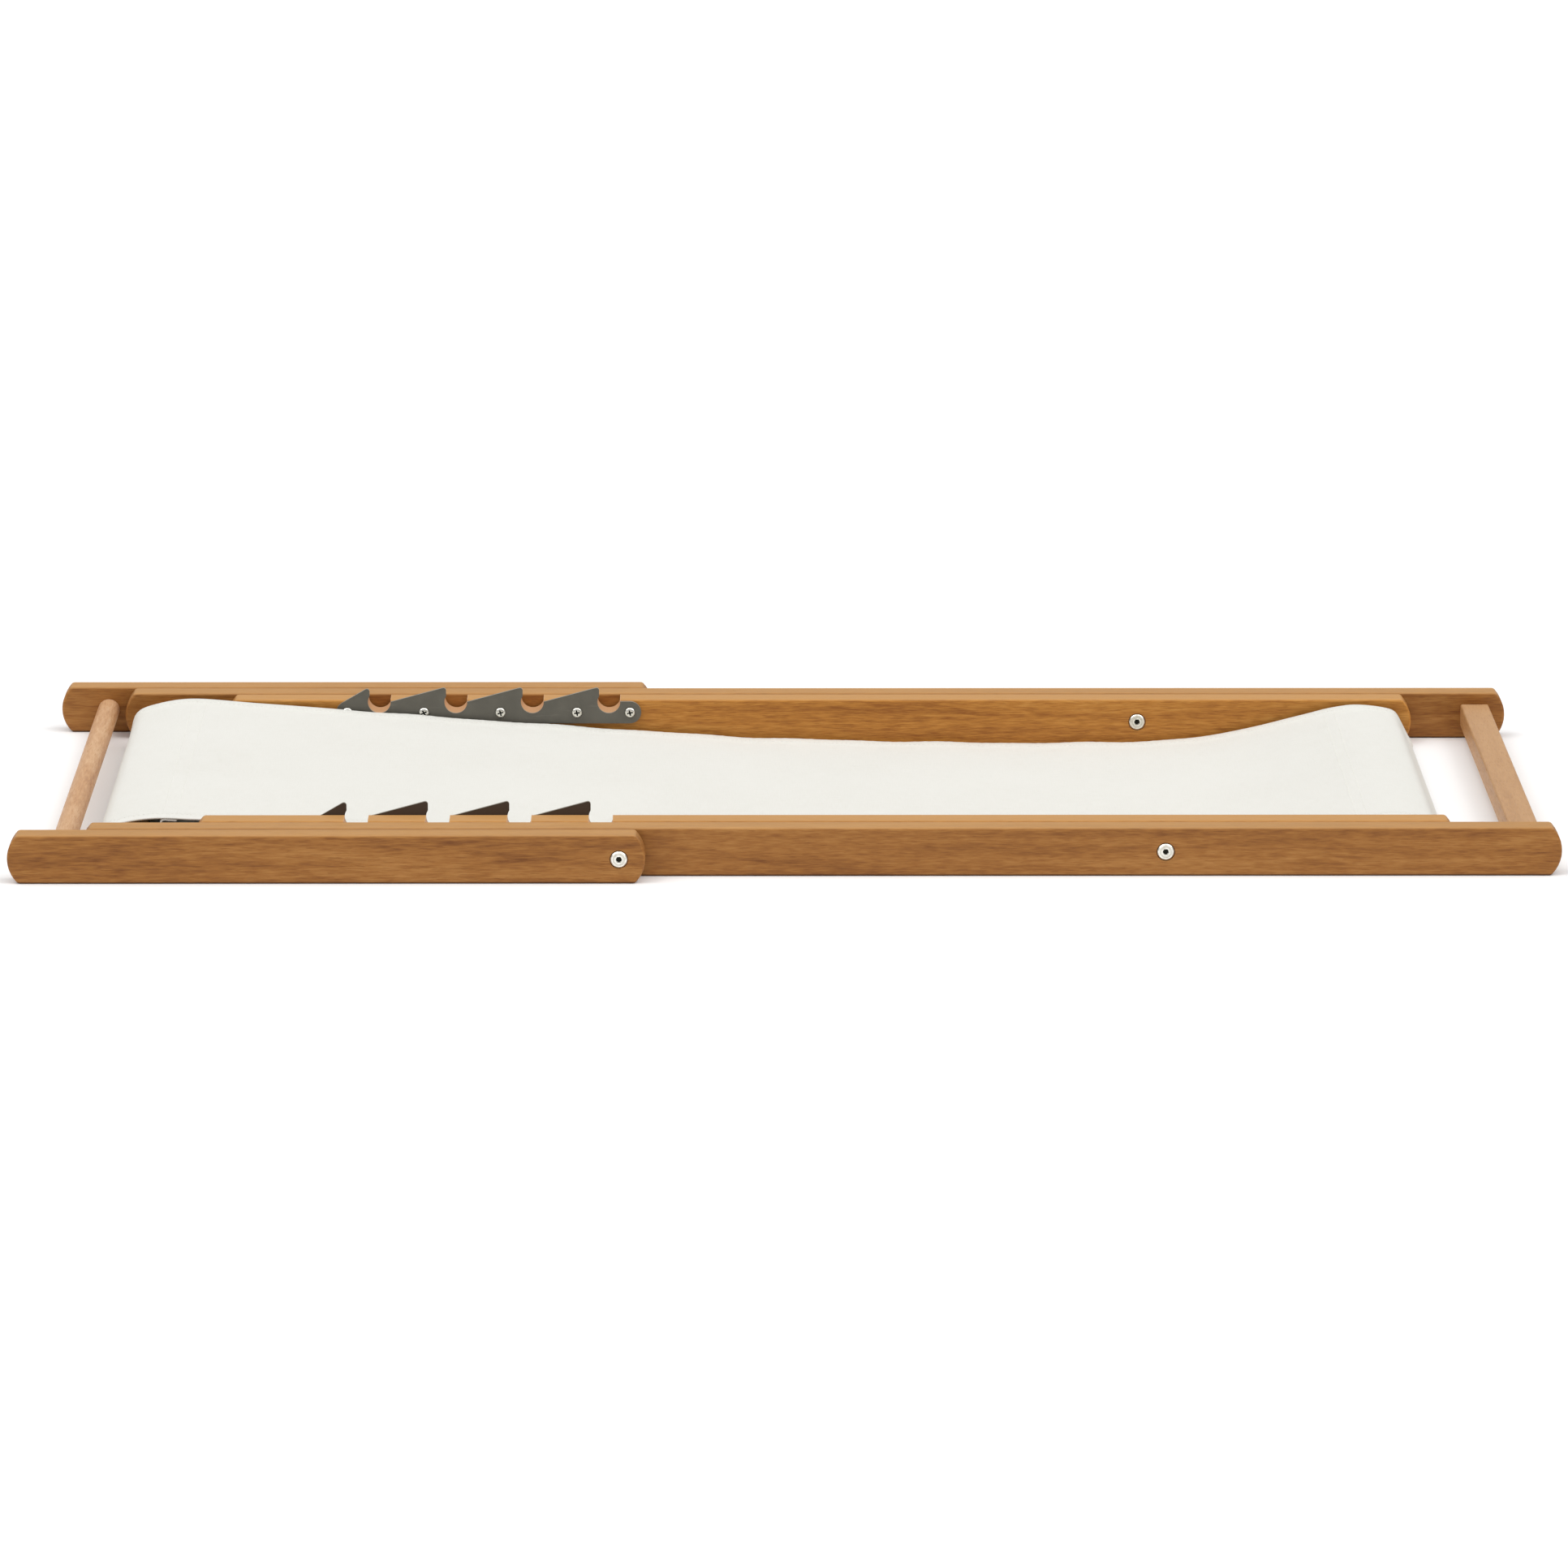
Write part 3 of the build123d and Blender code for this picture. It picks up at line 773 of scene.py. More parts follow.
@dataclass
class Sling:
    """Canvas sling: a hemmed strip with a sewn pocket round each bar and a slack belly on the floor.

    Attributes:
        canvas: Finish of the cloth.
        thread: Finish of the stitches.
        half_width: From the middle to the hemmed edge.
        thickness: Thickness of the canvas.
        hem: Width of the turned hem.
        hem_rise: Height of the turned layer's middle above the face's.
        hem_step: Length over which the hem's inner edge comes down to the face.
        overlap: Length of the folded end that is sewn under the belly.
        step: Spacing of the mesh along the strip.
        columns: Rows of faces across the strip between the hems.
        stitch_pitch: From one stitch to the next.
        pocket_lean: How much lower the head pocket stands on the right, as a share of its height.
    """

    canvas: Canvas
    thread: SewingThread
    half_width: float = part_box("sling")[1].y
    thickness: float = 0.9 * MM
    hem: float = 15.0 * MM
    hem_rise: float = 1.05 * MM
    hem_step: float = 5.0 * MM
    overlap: float = 14.0 * MM
    step: float = 3.4 * MM
    columns: int = 46
    stitch_pitch: float = 4.2 * MM
    pocket_lean: float = 0.145

    # Pockets, as millimetres along and above the axis of their bar
    HEAD_SEAM = 26.0
    HEAD_DROP = [(24.5, 13.5), (21.0, -2.5), (17.5, -14.0), (13.5, -18.8)]
    HEAD_FOLD = [(7.0, -19.8), (-13.0, -19.8), (-28.5, -19.8), (-32.5, -18.1), (-31.5, -12.5), (-28.2, 1.5)]
    HEAD_TOP = [(-26.7, 7.1), (-22.0, 12.4), (-8.0, 17.6), (21.0, 22.5)]
    KNEE_SEAM = -32.0
    KNEE_TOP = [(-64.0, 6.4), (-34.0, 14.0), (-11.0, 16.6), (20.5, 11.8)]
    KNEE_FOLD = [(24.4, 8.3), (27.8, 2.1), (35.0, -12.0), (38.5, -18.3), (34.0, -19.8)]
    KNEE_DROP = [(17.0, -19.8), (-8.0, -19.8), (-15.0, -19.1), (-20.0, -14.0), (-24.5, -4.5), (-29.0, 5.0)]

    # Belly, as millimetres from the head bar's axis and above the floor
    BELLY = [
        (87.0, 39.7), (267.0, 25.7), (417.0, 15.2), (537.0, 7.5),
        (717.0, 2.7), (837.0, 2.2), (917.0, 4.6), (967.0, 10.0),
    ]

    # Sewn ends: their points as shares of the overlap, and their middle below the face's
    LAP_POINTS = (1.0, 0.55, 0.1)
    LAP_GAP = 1.1 * MM

    # Where the slack begins and the head pocket's lean ends, from the bars' axes, and over what length
    HEAD_HOLD = 0.1
    LEAN_REACH = 0.17
    HEAD_EASE = 0.12
    KNEE_HOLD = 0.07
    KNEE_EASE = 0.1

    # Ripples: their height, where the edges' waves and puckers begin, and the right edge's shift
    RIPPLE = 0.45 * MM
    WAVES_FROM = 0.1
    PUCKERS_FROM = 0.172
    PUCKER_EASE = 0.02
    RIGHT_PHASE = 2.1

    # Stitches: inset from the hem's inner edge, and the seams' rows as shares of the overlap
    HEM_INSET = 2.5 * MM
    SEAM_ROWS = (0.11, 0.82)
    SEAM_POINTS = 100

    def __post_init__(self) -> None:
        """Find the two bars, and the places of the seams over them."""
        self.head = np.array(axis_of("head_bar"))
        self.knee = np.array(axis_of("knee_bar"))
        self.head_seam = self.head[0] + self.HEAD_SEAM * MM
        self.knee_seam = self.knee[0] + self.KNEE_SEAM * MM
        self.flat = (0.0, 0.0)

    def route(self) -> np.ndarray:
        """Lay out the strip's line in the XZ plane, from one sewn end to the other.

        Returns:
            Places along the strip's middle surface.
        """
        belly = np.array(self.BELLY) * MM + (self.head[0], 0.0)
        top = [self.head + np.array(self.HEAD_TOP) * MM, belly, self.knee + np.array(self.KNEE_TOP) * MM]
        face = smooth_line(np.vstack(top), 1.0 * MM)
        lap = self.overlap * np.array(self.LAP_POINTS)
        head_x = self.head_seam + lap
        knee_x = self.knee_seam - lap[::-1]
        ends = [
            np.column_stack([x, np.interp(x, face[:, 0], face[:, 1]) - self.LAP_GAP])
            for x in (head_x, knee_x)
        ]
        under_head = self.head + np.array(self.HEAD_DROP + self.HEAD_FOLD) * MM
        under_knee = self.knee + np.array(self.KNEE_FOLD + self.KNEE_DROP) * MM
        return smooth_line(np.vstack([ends[0], under_head, *top, under_knee, ends[1]]), self.step)

    def section(self) -> np.ndarray:
        """Lay out the strip's cross section: hem edge, fold, face, fold, hem edge.

        Returns:
            Rows of (place across, height above the face, flat distance across).
        """
        fold = self.hem_rise / 2
        edge = self.half_width - fold - self.thickness / 2
        inner = self.half_width - self.hem
        beside = (inner + edge) / 2
        half = [(inner, 0.0), (beside, 0.0)]
        for turn in np.linspace(0.0, math.pi, 5):
            half.append((edge + fold * math.sin(turn), fold * (1 - math.cos(turn))))
        half.append((beside, self.hem_rise))
        for share in (0.0, 0.5, 1.0):
            half.append((inner + (0.3 - share) * self.hem_step, self.hem_rise * (1 - share)))
        middle = np.linspace(half[-1][0], -half[-1][0], self.columns + 1)[1:-1]
        rows = np.array(half + [(y, 0.0) for y in middle] + [(-y, h) for y, h in reversed(half)])
        return np.column_stack([rows, distances(rows)])

    def lift(self, x: np.ndarray, y: np.ndarray) -> np.ndarray:
        """Give the slack cloth its ripples, and the hems their puckers.

        Args:
            x: Places along the chair.
            y: Places across the chair.

        Returns:
            How far the cloth stands above its smooth line.
        """
        slack = rise(x, self.head[0] + self.HEAD_HOLD, self.HEAD_EASE)
        slack = slack * rise(x, self.knee[0] - self.KNEE_HOLD, -self.KNEE_EASE)
        side = rise(np.abs(y), self.WAVES_FROM, self.half_width - self.WAVES_FROM) ** 2
        phase = np.where(y > 0, 0.0, self.RIGHT_PHASE)
        # Waves, each a share of the ripples' height at a rate in radians to the metre
        edge = 0.9 * np.sin(52 * x + phase) + 0.6 * np.sin(91 * x + 1.3 + 2 * phase)
        pucker = 0.16 * np.sin(540 * x + phase) + 0.12 * np.sin(777 * x + 0.7)
        seam = rise(np.abs(y), self.PUCKERS_FROM, self.PUCKER_EASE)
        belly = 0.7 * np.sin(23 * x + 9 * y) * np.cos(14 * y + 0.4) + 0.35 * np.sin(41 * x - 17 * y + 0.9)
        return slack * (edge * side + pucker * seam + belly * (1 - side)) * self.RIPPLE

    def surface(self, rows: np.ndarray) -> tuple[np.ndarray, np.ndarray, np.ndarray]:
        """Place points on the cloth.

        Args:
            rows: Cross-section rows, as section() gives them.

        Returns:
            Points and outward directions as grids of strip by row, and the distance along the strip.
        """
        line = self.route()
        heading = np.gradient(line, axis=0)
        heading /= np.linalg.norm(heading, axis=1)[:, None]
        out = np.column_stack([-heading[:, 1], heading[:, 0]])
        x = line[:, 0, None] + out[:, 0, None] * rows[None, :, 1]
        z = line[:, 1, None] + out[:, 1, None] * rows[None, :, 1]
        y = np.broadcast_to(rows[None, :, 0], x.shape)
        z = z + self.lift(x, y) * np.clip(out[:, 1, None], 0, 1)
        lean = rise(x, self.head[0] + self.LEAN_REACH, -self.HEAD_EASE)
        lean = lean * (0.5 - y / (2 * self.half_width))
        z = z * (1 - self.pocket_lean * lean)
        points = np.stack([x, y, z], axis=-1)
        normals = np.stack([out[:, 0], 0 * out[:, 0], out[:, 1]], axis=-1)
        return points, np.broadcast_to(normals[:, None], points.shape), distances(line)

    def build(self) -> Piece:
        """Make the cloth.

        Returns:
            The sling, a closed thin mesh with a UV map in metres.
        """
        section = self.section()
        points, _, along = self.surface(section)
        long, wide = points.shape[:2]
        index = np.arange(long * wide).reshape(long, wide)
        quads = np.stack([index[:-1, :-1], index[1:, :-1], index[1:, 1:], index[:-1, 1:]], axis=-1)
        mesh = bpy.data.meshes.new("sling_sheet")
        mesh.from_pydata(points.reshape(-1, 3).tolist(), [], quads.reshape(-1, 4).tolist())
        flat = np.stack(np.broadcast_arrays(section[None, :, 2], along[:, None]), axis=-1).reshape(-1, 2)
        corners = np.zeros(len(mesh.loops), int)
        mesh.loops.foreach_get("vertex_index", corners)
        mesh.uv_layers.new(name="cloth").data.foreach_set("uv", flat[corners].astype(np.float32).ravel())
        mesh.materials.append(self.canvas.material())
        sheet = shown(mesh, "sling_sheet")
        wall = sheet.modifiers.new("thickness", "SOLIDIFY")
        wall.thickness = self.thickness
        wall.offset = 0.0
        piece = settled(sheet, "canvas_sling")
        bpy.data.objects.remove(sheet)
        self.flat = (float(section[-1, 2]), float(along[-1]))
        return piece

    def sew(self) -> Piece:
        """Sew the hems and the pocket seams.

        Returns:
            All the stitches, as one piece.
        """
        hem_y = self.half_width - self.hem + self.HEM_INSET
        across = np.linspace(-hem_y, hem_y, self.SEAM_POINTS)
        hem_rows = np.array([[hem_y, self.hem_rise, 0.0], [-hem_y, self.hem_rise, 0.0]])
        seam_rows = np.column_stack([across, 0 * across, 0 * across])
        hems, hem_out, _ = self.surface(hem_rows)
        seams, seam_out, _ = self.surface(seam_rows)
        # The hems are sewn where they face up and clear the floor
        upper = np.flatnonzero((hem_out[:, 0, 2] > 0.55) & (hems[:, 0, 2] > 1.2 * MM))
        lines = [(hems[upper, k], hem_out[upper, k]) for k in range(2)]
        inset = np.array(self.SEAM_ROWS) * self.overlap
        for place in (*(self.head_seam + inset), *(self.knee_seam - inset)):
            reach = np.abs(seams[:, 0, 0] - place) + np.where(seam_out[:, 0, 2] > 0.5, 0.0, 1.0)
            lines.append((seams[np.argmin(reach)], seam_out[np.argmin(reach)]))
        verts, edges, normals = [], [], []
        for places, outward in lines:
            start = len(verts)
            verts += (places + outward * self.thickness * 0.5).tolist()
            normals += outward.tolist()
            edges += [(start + i, start + i + 1) for i in range(len(places) - 1)]
        return self.stitch_tree().run("sling_stitches", verts, normals, edges)

    def stitch_tree(self) -> RepeatTree:
        """Write the tree that lays stitches along lines.

        Returns:
            The tree, with its sizes.
        """
        sizes = {"Pitch": self.stitch_pitch, "Stitch": 3.4 * MM, "Thread": 0.23 * MM, "Bow": 0.22 * MM}
        tree = RepeatTree("stitches", sizes)
        rows = tree.node("GeometryNodeMeshToCurve", {}, {0: tree.input("Geometry")})
        pitch = {"Curve": rows, "Length": tree.input("Pitch")}
        spots = tree.node("GeometryNodeResampleCurve", {"mode": "LENGTH"}, pitch)
        half = tree.input("Stitch") * 0.5
        sink = tree.input("Thread") * -0.6
        ends = [tree.node("ShaderNodeCombineXYZ", {}, {"X": x, "Z": sink}) for x in (half * -1.0, half)]
        crown = tree.node("ShaderNodeCombineXYZ", {}, {"Z": tree.input("Bow") * 2.0})
        bow = {"Resolution": 5, "Start": ends[0], "Middle": crown, "End": ends[1]}
        arc = tree.node("GeometryNodeCurveQuadraticBezier", {}, bow)
        round_thread = {"Resolution": 5, "Radius": tree.input("Thread")}
        ring = tree.node("GeometryNodeCurvePrimitiveCircle", {}, round_thread)
        swept = {"Curve": arc, "Profile Curve": ring, "Fill Caps": True}
        stitch = tree.node("GeometryNodeCurveToMesh", {}, swept)
        turn = tree.facing(tree.node("GeometryNodeInputTangent"))
        spread = {"Min": 0.88, "Max": 1.06, "Seed": 7}
        size = tree.node("FunctionNodeRandomValue", {"data_type": "FLOAT"}, spread, "Value")
        tree.close(spots, stitch, turn, size, self.thread)
        return tree

    def dress(self) -> list[Piece]:
        """Make the sling and its stitches, and hang them between the two frames.

        Returns:
            The new pieces.
        """
        cloth = self.build()
        stitches = self.sew()
        for piece in (cloth, stitches):
            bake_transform(piece)
        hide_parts("sling")
        return [cloth, stitches]


@dataclass
class Racks:
    """Steel racks with hooked teeth, and the cross-recessed pan-head screws that hold them.

    Attributes:
        plate_steel: Finish of the racks.
        screw_steel: Finish of the screws.
        head_radius: Radius of the head.
        head_height: Height of the head.
        recess_length: Length of each arm of the cross, end to end.
        recess_width: Width of each arm.
        recess_depth: Depth of the cross.
        head_scale: How much larger all of a head is drawn.
    """

    plate_steel: CoatedSteel
    screw_steel: PlatedSteel
    head_radius: float = 4.5 * MM
    head_height: float = 2.4 * MM
    recess_length: float = 5.4 * MM
    recess_width: float = 1.25 * MM
    recess_depth: float = 1.7 * MM
    head_scale: float = 1.08

    # Dome as shares of radius and height, its facets, and shares of the cross at its floor and its top
    PROFILE = [(0.0, 1.0), (0.3, 0.98), (0.58, 0.9), (0.8, 0.74), (0.93, 0.5), (0.99, 0.22), (1.0, 0.0)]
    TURNS = 28
    TAPER = (0.45, 1.15)

    def places(self, side: Side) -> list[Point]:
        """Read where the screws sit from the CAD screws of one side.

        Args:
            side: The sitter's side.

        Returns:
            The middle of each head's seat on the rack.
        """
        points = np.array([v.co for v in frame["nodes"][side.node("rack_screws")].data.vertices])
        rack_low, rack_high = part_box(side.node("rack_plate"))
        seat_y = rack_low.y if side is Side.LEFT else rack_high.y
        order = np.sort(np.unique(np.round(points[:, 0], 5)))
        groups = np.split(order, np.flatnonzero(np.diff(order) > self.head_radius) + 1)
        z = (points[:, 2].min() + points[:, 2].max()) / 2
        return [((g[0] + g[-1]) / 2, seat_y, z) for g in groups]

    def screw(self) -> Piece:
        """Make one screw head, lying on its seat and facing up.

        Returns:
            The head with its cross recess.
        """
        shape = bmesh.new()
        rim = [shape.verts.new((r * self.head_radius, 0.0, h * self.head_height)) for r, h in self.PROFILE]
        rim.append(shape.verts.new((0.0, 0.0, 0.0)))
        edges = [shape.edges.new(pair) for pair in zip(rim, rim[1:])]
        turned = {"cent": (0, 0, 0), "axis": (0, 0, 1), "angle": 2 * math.pi, "steps": self.TURNS}
        bmesh.ops.spin(shape, geom=rim + edges, use_merge=True, **turned)
        bmesh.ops.remove_doubles(shape, verts=shape.verts, dist=1e-6)
        bmesh.ops.recalc_face_normals(shape, faces=shape.faces)
        head = shown(bpy.data.meshes.new("screw_head"), "screw_head")
        shape.to_mesh(head.data)
        shape.free()
        cutters = [self.arm(name, turn) for name, turn in (("arm_east", 0.0), ("arm_north", math.pi / 2))]
        for cutter in cutters:
            cut = head.modifiers.new(cutter.name, "BOOLEAN")
            cut.object = cutter
            cut.solver = "EXACT"
        done = settled(head, "rack_screw_head")
        self.mark_hollow(done.data)
        for spent in (head, *cutters):
            bpy.data.objects.remove(spent)
        return done

    def mark_hollow(self, mesh: bpy.types.Mesh) -> None:
        """Mark the faces that lie inside the cross.

        Args:
            mesh: The head.
        """
        dome = np.array(self.PROFILE) * (self.head_radius, self.head_height)
        centres = np.array([face.center for face in mesh.polygons])
        surface = np.interp(np.hypot(centres[:, 0], centres[:, 1]), dome[:, 0], dome[:, 1])
        upright = np.array([abs(face.normal.z) < 0.5 for face in mesh.polygons])
        inside = (centres[:, 2] > 0.1 * MM) & (surface - centres[:, 2] > np.where(upright, 0.15, 0.3) * MM)
        mesh.attributes.new("hollow", "FLOAT", "FACE").data.foreach_set("value", inside.astype(np.float32))

    def arm(self, name: str, turn: float) -> Piece:
        """Make a tapered bar that cuts one arm of the cross.

        Args:
            name: Name of the cutter.
            turn: Its direction, in radians.

        Returns:
            The cutter.
        """
        shape = bmesh.new()
        bmesh.ops.create_cube(shape, size=1.0)
        heights = (self.head_height - self.recess_depth, self.head_height + 0.5 * MM)
        for corner in shape.verts:
            x, y, z = corner.co
            upper = z > 0
            share = self.TAPER[upper]
            width = self.recess_width * (0.5 + share / 2)
            corner.co = (x * self.recess_length * share, y * width, heights[upper])
        bmesh.ops.rotate(shape, verts=shape.verts, matrix=Matrix.Rotation(turn, 3, "Z"))
        cutter = shown(bpy.data.meshes.new(name), name)
        shape.to_mesh(cutter.data)
        shape.free()
        return cutter

    def dress(self) -> list[Piece]:
        """Finish the plates, drive all the screws, and let them stand for the CAD screws.

        Returns:
            The plates, and one piece with all the screws.
        """
        coated = self.plate_steel.material()
        plates = [coat(side.node("rack_plate"), coated) for side in Side]
        spots, facing = [], []
        for side in Side:
            found = self.places(side)
            spots += found
            facing += [(0.0, -float(side.value), 0.0)] * len(found)
        head = self.screw()
        tree = RepeatTree("rack_screws", {"Size": self.head_scale})
        own_place = {"transform_space": "ORIGINAL"}
        info = tree.node("GeometryNodeObjectInfo", own_place, {"Object": head}, "Geometry")
        quarter = {"Min": 0.0, "Max": math.pi / 2, "Seed": 3}
        turn = tree.node("FunctionNodeRandomValue", {"data_type": "FLOAT"}, quarter, "Value")
        spin = tree.node("ShaderNodeCombineXYZ", {}, {"X": turn.sine(), "Z": (turn + math.pi / 2).sine()})
        tree.close(tree.input("Geometry"), info, tree.facing(spin), tree.input("Size"), self.screw_steel)
        piece = tree.run("rack_screw_heads", spots, facing)
        bpy.data.objects.remove(head)
        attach(piece, "seat_frame")
        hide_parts(*(side.node("rack_screws") for side in Side))
        return plates + [piece]


def coat(node: str, material: bpy.types.Material) -> Piece:
    """Give a CAD piece its finish.

    Args:
        node: The piece's name.
        material: The finish.

    Returns:
        The piece.
    """
    piece = frame["nodes"][node]
    piece.data.materials.clear()
    piece.data.materials.append(material)
    return piece


@dataclass
class WoodFrame:
    """One of the chair's three wooden frames, which keeps its CAD shape.

    Attributes:
        rail: Name of its rails, without the side.
        rail_wood: Wood of the rails.
        cross_pieces: Wood of each piece between the rails.
    """

    rail: str
    rail_wood: OiledWood
    cross_pieces: Mapping[str, OiledWood]

    def dress(self) -> list[Piece]:
        """Give the frame its woods.

        Returns:
            The dressed pieces.
        """
        board = self.rail_wood.material()
        rails = [coat(side.node(self.rail), board) for side in Side]
        return rails + [coat(node, wood.material()) for node, wood in self.cross_pieces.items()]


@dataclass
class Pivot:
    """A pair of pivots on one axis: sleeve, bolt and washer on each side.

    Attributes:
        name: Name of the pivot, without the piece and the side.
        steel: Finish of the sleeves and bolts.
        nylon: Finish of the washers.
    """

    name: str
    steel: PlatedSteel
    nylon: MouldedNylon

    def dress(self) -> list[Piece]:
        """Give the pivots their finishes.

        Returns:
            The dressed pieces.
        """
        axis = axis_of(Side.LEFT.node(f"{self.name}_sleeve"))
        turned = replace(self.steel, name=f"{self.name}_steel", axis=axis).material()
        moulded = replace(self.nylon, name=f"{self.name}_nylon").material()
        finishes = {"sleeve": turned, "bolt": turned, "washer": moulded}
        return [coat(side.node(f"{self.name}_{piece}"), f) for side in Side for piece, f in finishes.items()]


@dataclass
class Studio:
    """White floor, soft light and the photograph's camera.

    Attributes:
        target: The point that the camera looks at.
        distance: From the camera to that point.
        elevation: Of the camera above the horizon, in degrees.
        azimuth: Of the camera round the chair, in degrees, 0 at the near long side.
        roll: Of the camera, in degrees.
        focal_pixels: Focal length in pixels of the image.
        image_side: Side of the square image, in pixels.
        sensor: Width of the camera's sensor, in millimetres.
        sky: Strength of the light from all round.
        floor_radius: Radius of the floor.
    """

    target: Point = (-0.0003, 0.0, 0.0164)
    distance: float = 6.692
    elevation: float = 14.126
    azimuth: float = -0.403
    roll: float = 0.07
    focal_pixels: float = 9236.0
    image_side: float = 1932.0
    sensor: float = 36.0
    sky: float = 0.42
    floor_radius: float = 60.0

    def camera(self) -> None:
        """Set up the camera."""
        stand = Matrix.Translation(self.target)
        for angle, axis in ((self.azimuth, "Z"), (90.0 - self.elevation, "X"), (self.roll, "Z")):
            stand = stand @ Matrix.Rotation(math.radians(angle), 4, axis)
        eye = bpy.data.objects.new("camera", bpy.data.cameras.new("camera"))
        eye.matrix_world = stand @ Matrix.Translation((0.0, 0.0, self.distance))
        eye.data.sensor_width = self.sensor
        eye.data.lens = self.sensor * self.focal_pixels / self.image_side
        bpy.context.scene.collection.objects.link(eye)
        bpy.context.scene.camera = eye

    def light(self, name: str, place: Point, spread: float, power: float) -> None:
        """Hang one wide, even light that faces the chair.

        Args:
            name: Name of the light.
            place: Where it shines from.
            spread: How wide it looks from the chair, in degrees.
            power: Its strength, in watts to the square metre.
        """
        data = bpy.data.lights.new(name, "SUN")
        data.angle = math.radians(spread)
        data.energy = power
        lamp = bpy.data.objects.new(name, data)
        lamp.location = place
        lamp.rotation_euler = (-Vector(place)).to_track_quat("-Z", "Y").to_euler()
        bpy.context.scene.collection.objects.link(lamp)

    def floor(self) -> None:
        """Lay the white floor, a wide disc."""
        shape = bmesh.new()
        bmesh.ops.create_circle(shape, cap_ends=True, radius=self.floor_radius, segments=96)
        mesh = bpy.data.meshes.new("floor")
        shape.to_mesh(mesh)
        shape.free()
        white = opaque((0.93, 0.93, 0.93))
        shader = Shader("white_floor", Base_Color=white, Roughness=0.9, Specular_IOR_Level=0.1)
        mesh.materials.append(shader.material)
        shown(mesh, "floor")

    def dress(self) -> None:
        """Build the whole studio."""
        scene = bpy.context.scene
        scene.view_settings.view_transform = "Standard"
        world = bpy.data.worlds.new("studio")
        world.use_nodes = True
        sky = world.node_tree.nodes["Background"]
        sky.inputs["Color"].default_value = opaque((1.0, 1.0, 1.0))
        sky.inputs["Strength"].default_value = self.sky
        scene.world = world
        self.floor()
        self.light("overhead", (0.0, -0.7, 4.0), spread=70.0, power=1.0)
        for name, x in (("left_light", -3.0), ("right_light", 3.0)):
            self.light(name, (x, -0.7, 3.6), spread=45.0, power=1.1)
        self.camera()


# Notches in the seat rails: play round the dowel, and their axes below the rails' tops
NOTCH_PLAY = 0.5 * MM
NOTCH_SINK = 2.0 * MM


def rack_notches() -> tuple[Point, ...]:
    """Find the notches in the seat rails from the openings that hold the prop dowel.

    Returns:
        Place along the chair, height and radius of each notch.
    """
    low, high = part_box("prop_dowel")
    radius = (high.z - low.z) / 2 + NOTCH_PLAY
    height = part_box("seat_rail_left")[1].z - NOTCH_SINK
    openings = frame["record"]["physics"]["openings"]
    boxes = [opening["box_m"] for opening in openings if "rack_notch_left" in opening["name"]]
    return tuple(((box[0][0] + box[1][0]) / 2, height, radius) for box in boxes)


RAIL_WOOD = OiledWood(
    "oiled_rail_wood",
    Grain.ALONG_CHAIR,
    light=srgb(180, 128, 68),
    body=srgb(157, 103, 46),
    dark=srgb(116, 67, 25),
    painted_top_light=srgb(206, 166, 113),
    painted_arris_highlight=0.35,
)
NOTCHED_WOOD = replace(
    RAIL_WOOD,
    name="notched_rail_wood",
    light=srgb(216, 156, 79),
    body=srgb(190, 127, 54),
    dark=srgb(142, 83, 30),
    painted_top_light=srgb(186, 141, 88),
    top_light_share=0.9,
    painted_arris_highlight=0.12,
    notches=rack_notches(),
    bare=srgb(214, 172, 134),
)
CROSSBAR_WOOD = OiledWood(
    "oiled_crossbar_wood",
    Grain.ACROSS_CHAIR,
    light=srgb(196, 152, 104),
    body=srgb(178, 130, 82),
    dark=srgb(138, 91, 49),
    painted_top_light=srgb(188, 153, 118),
)
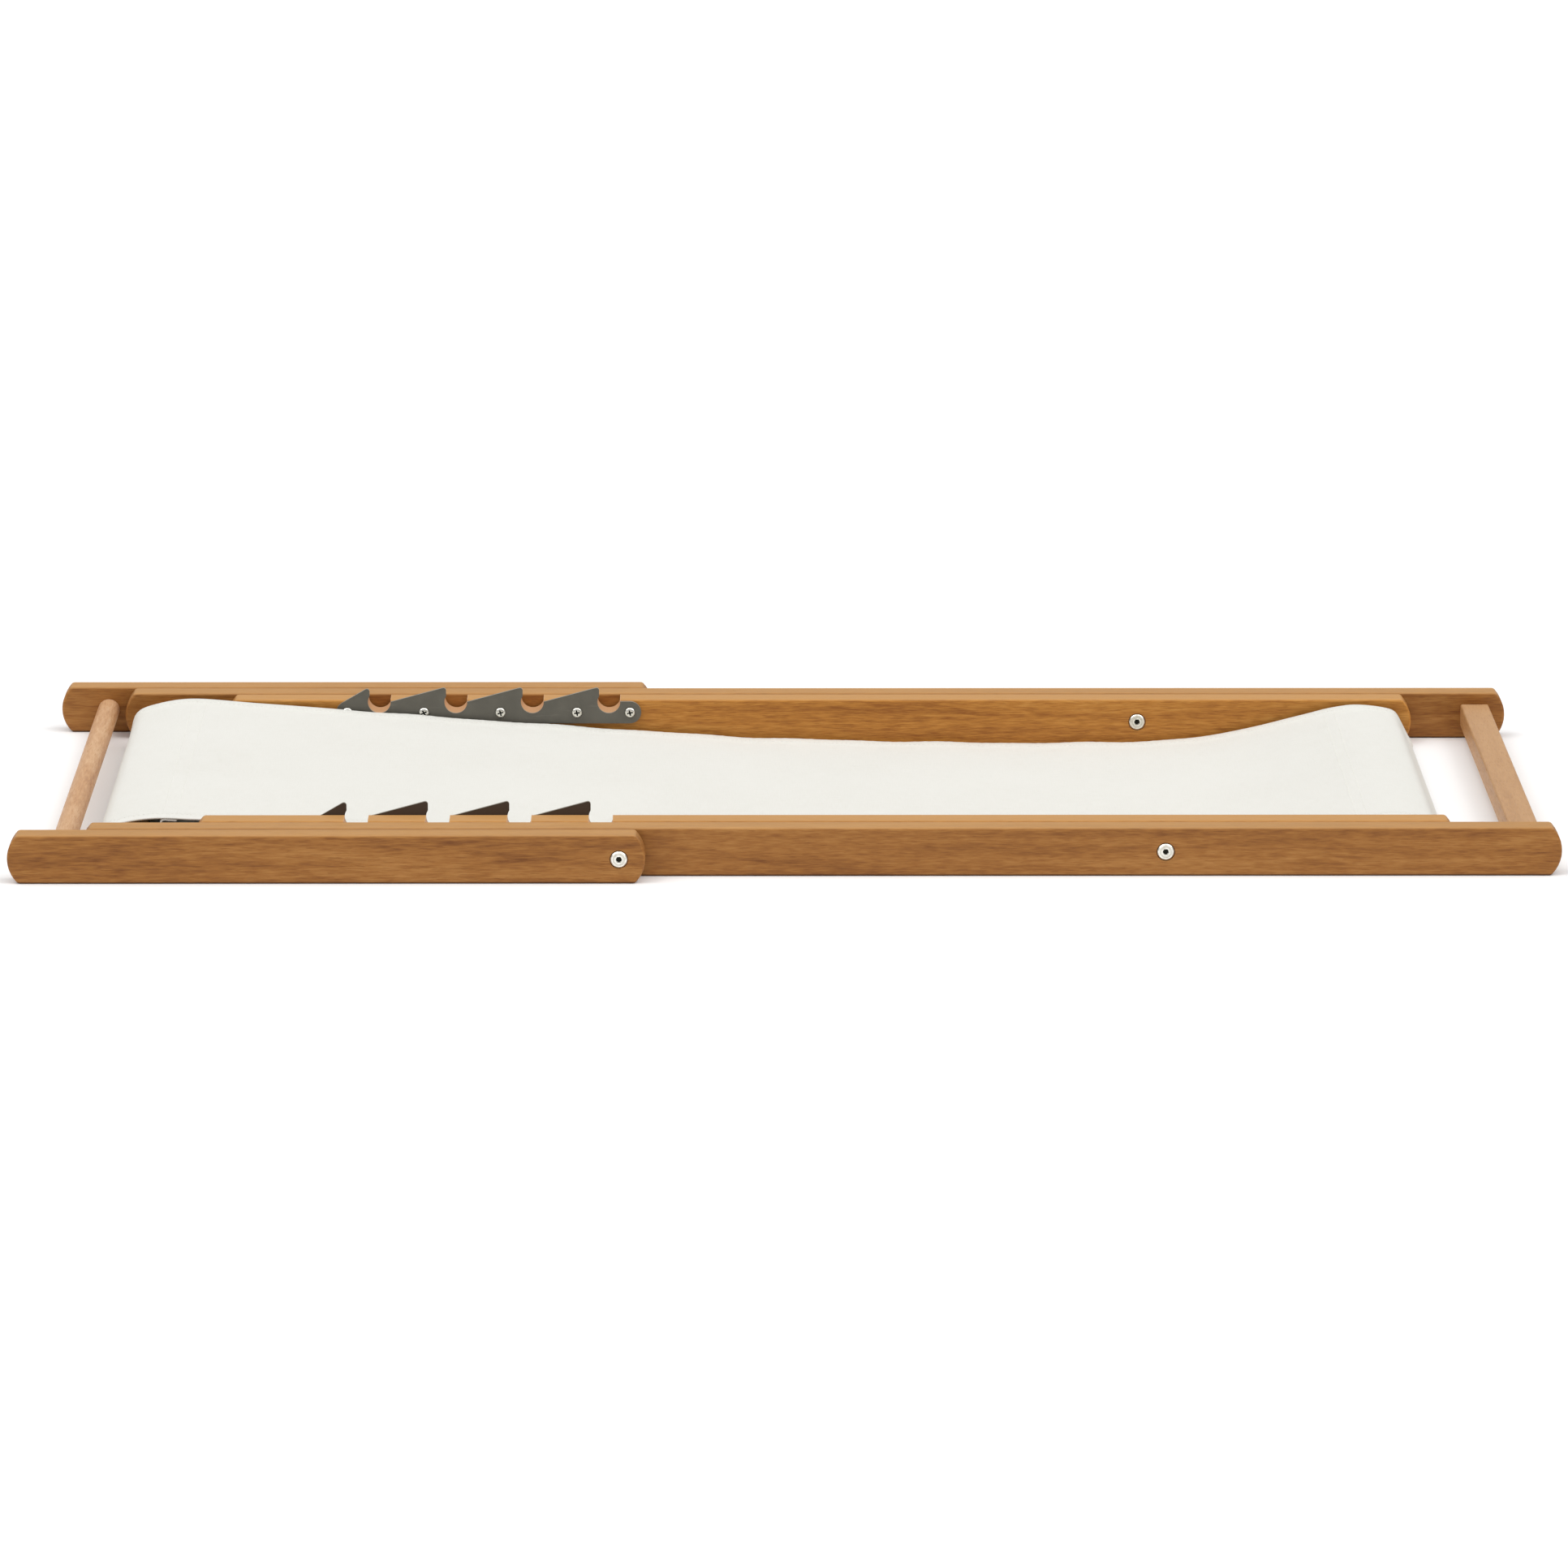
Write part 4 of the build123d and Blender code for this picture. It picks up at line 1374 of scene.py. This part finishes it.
BAR_WOOD = OiledWood(
    "turned_bar_wood",
    Grain.ACROSS_CHAIR,
    light=srgb(203, 156, 102),
    body=srgb(182, 130, 76),
    dark=srgb(138, 88, 44),
    painted_top_light=srgb(206, 168, 120),
    top_light_share=0.2,
)
DOWEL_WOOD = OiledWood(
    "turned_dowel_wood",
    Grain.ACROSS_CHAIR,
    light=srgb(210, 172, 134),
    body=srgb(190, 142, 100),
    dark=srgb(156, 106, 68),
    painted_top_light=srgb(214, 182, 146),
    top_light_share=0.2,
    contrast=1.2,
)
SLING_CANVAS = Canvas("off_white_canvas", colour=srgb(242, 241, 235), shade=srgb(225, 222, 212))
RACK_STEEL = CoatedSteel(
    "dark_rack_steel",
    colour=srgb(94, 91, 82),
    rub=srgb(118, 114, 104),
    edge=srgb(158, 152, 138),
    back=srgb(66, 55, 47),
)
ZINC = PlatedSteel(
    "zinc_plate", colour=srgb(246, 244, 236), dull=srgb(206, 203, 190), recess_shade_colour=srgb(52, 52, 46)
)
NYLON = MouldedNylon("washer_nylon", colour=srgb(214, 210, 200), flow=srgb(190, 186, 174))
THREAD = SewingThread("cotton_thread", colour=srgb(242, 241, 235), twist=srgb(229, 227, 218))


def main() -> None:
    """Dress the chair and set up the studio."""
    logging.basicConfig(level=logging.INFO, format="%(name)s: %(message)s")
    back_frame = WoodFrame("back_rail", RAIL_WOOD, {"head_bar": BAR_WOOD, "foot_crossbar": CROSSBAR_WOOD})
    seat_frame = WoodFrame("seat_rail", NOTCHED_WOOD, {"knee_bar": BAR_WOOD, "rear_crossbar": CROSSBAR_WOOD})
    prop_frame = WoodFrame("prop_rail", RAIL_WOOD, {"prop_dowel": DOWEL_WOOD})
    pieces = []
    for assembly in (
        back_frame,
        seat_frame,
        prop_frame,
        Pivot("main_pivot", ZINC, NYLON),
        Pivot("prop_pivot", ZINC, NYLON),
        Racks(RACK_STEEL, ZINC),
        Sling(SLING_CANVAS, THREAD),
    ):
        pieces += assembly.dress()
    for piece in pieces:
        LOG.info("%s: %d faces", piece.name, len(piece.data.polygons))
    Studio().dress()


if __name__ == "__main__":
    main()
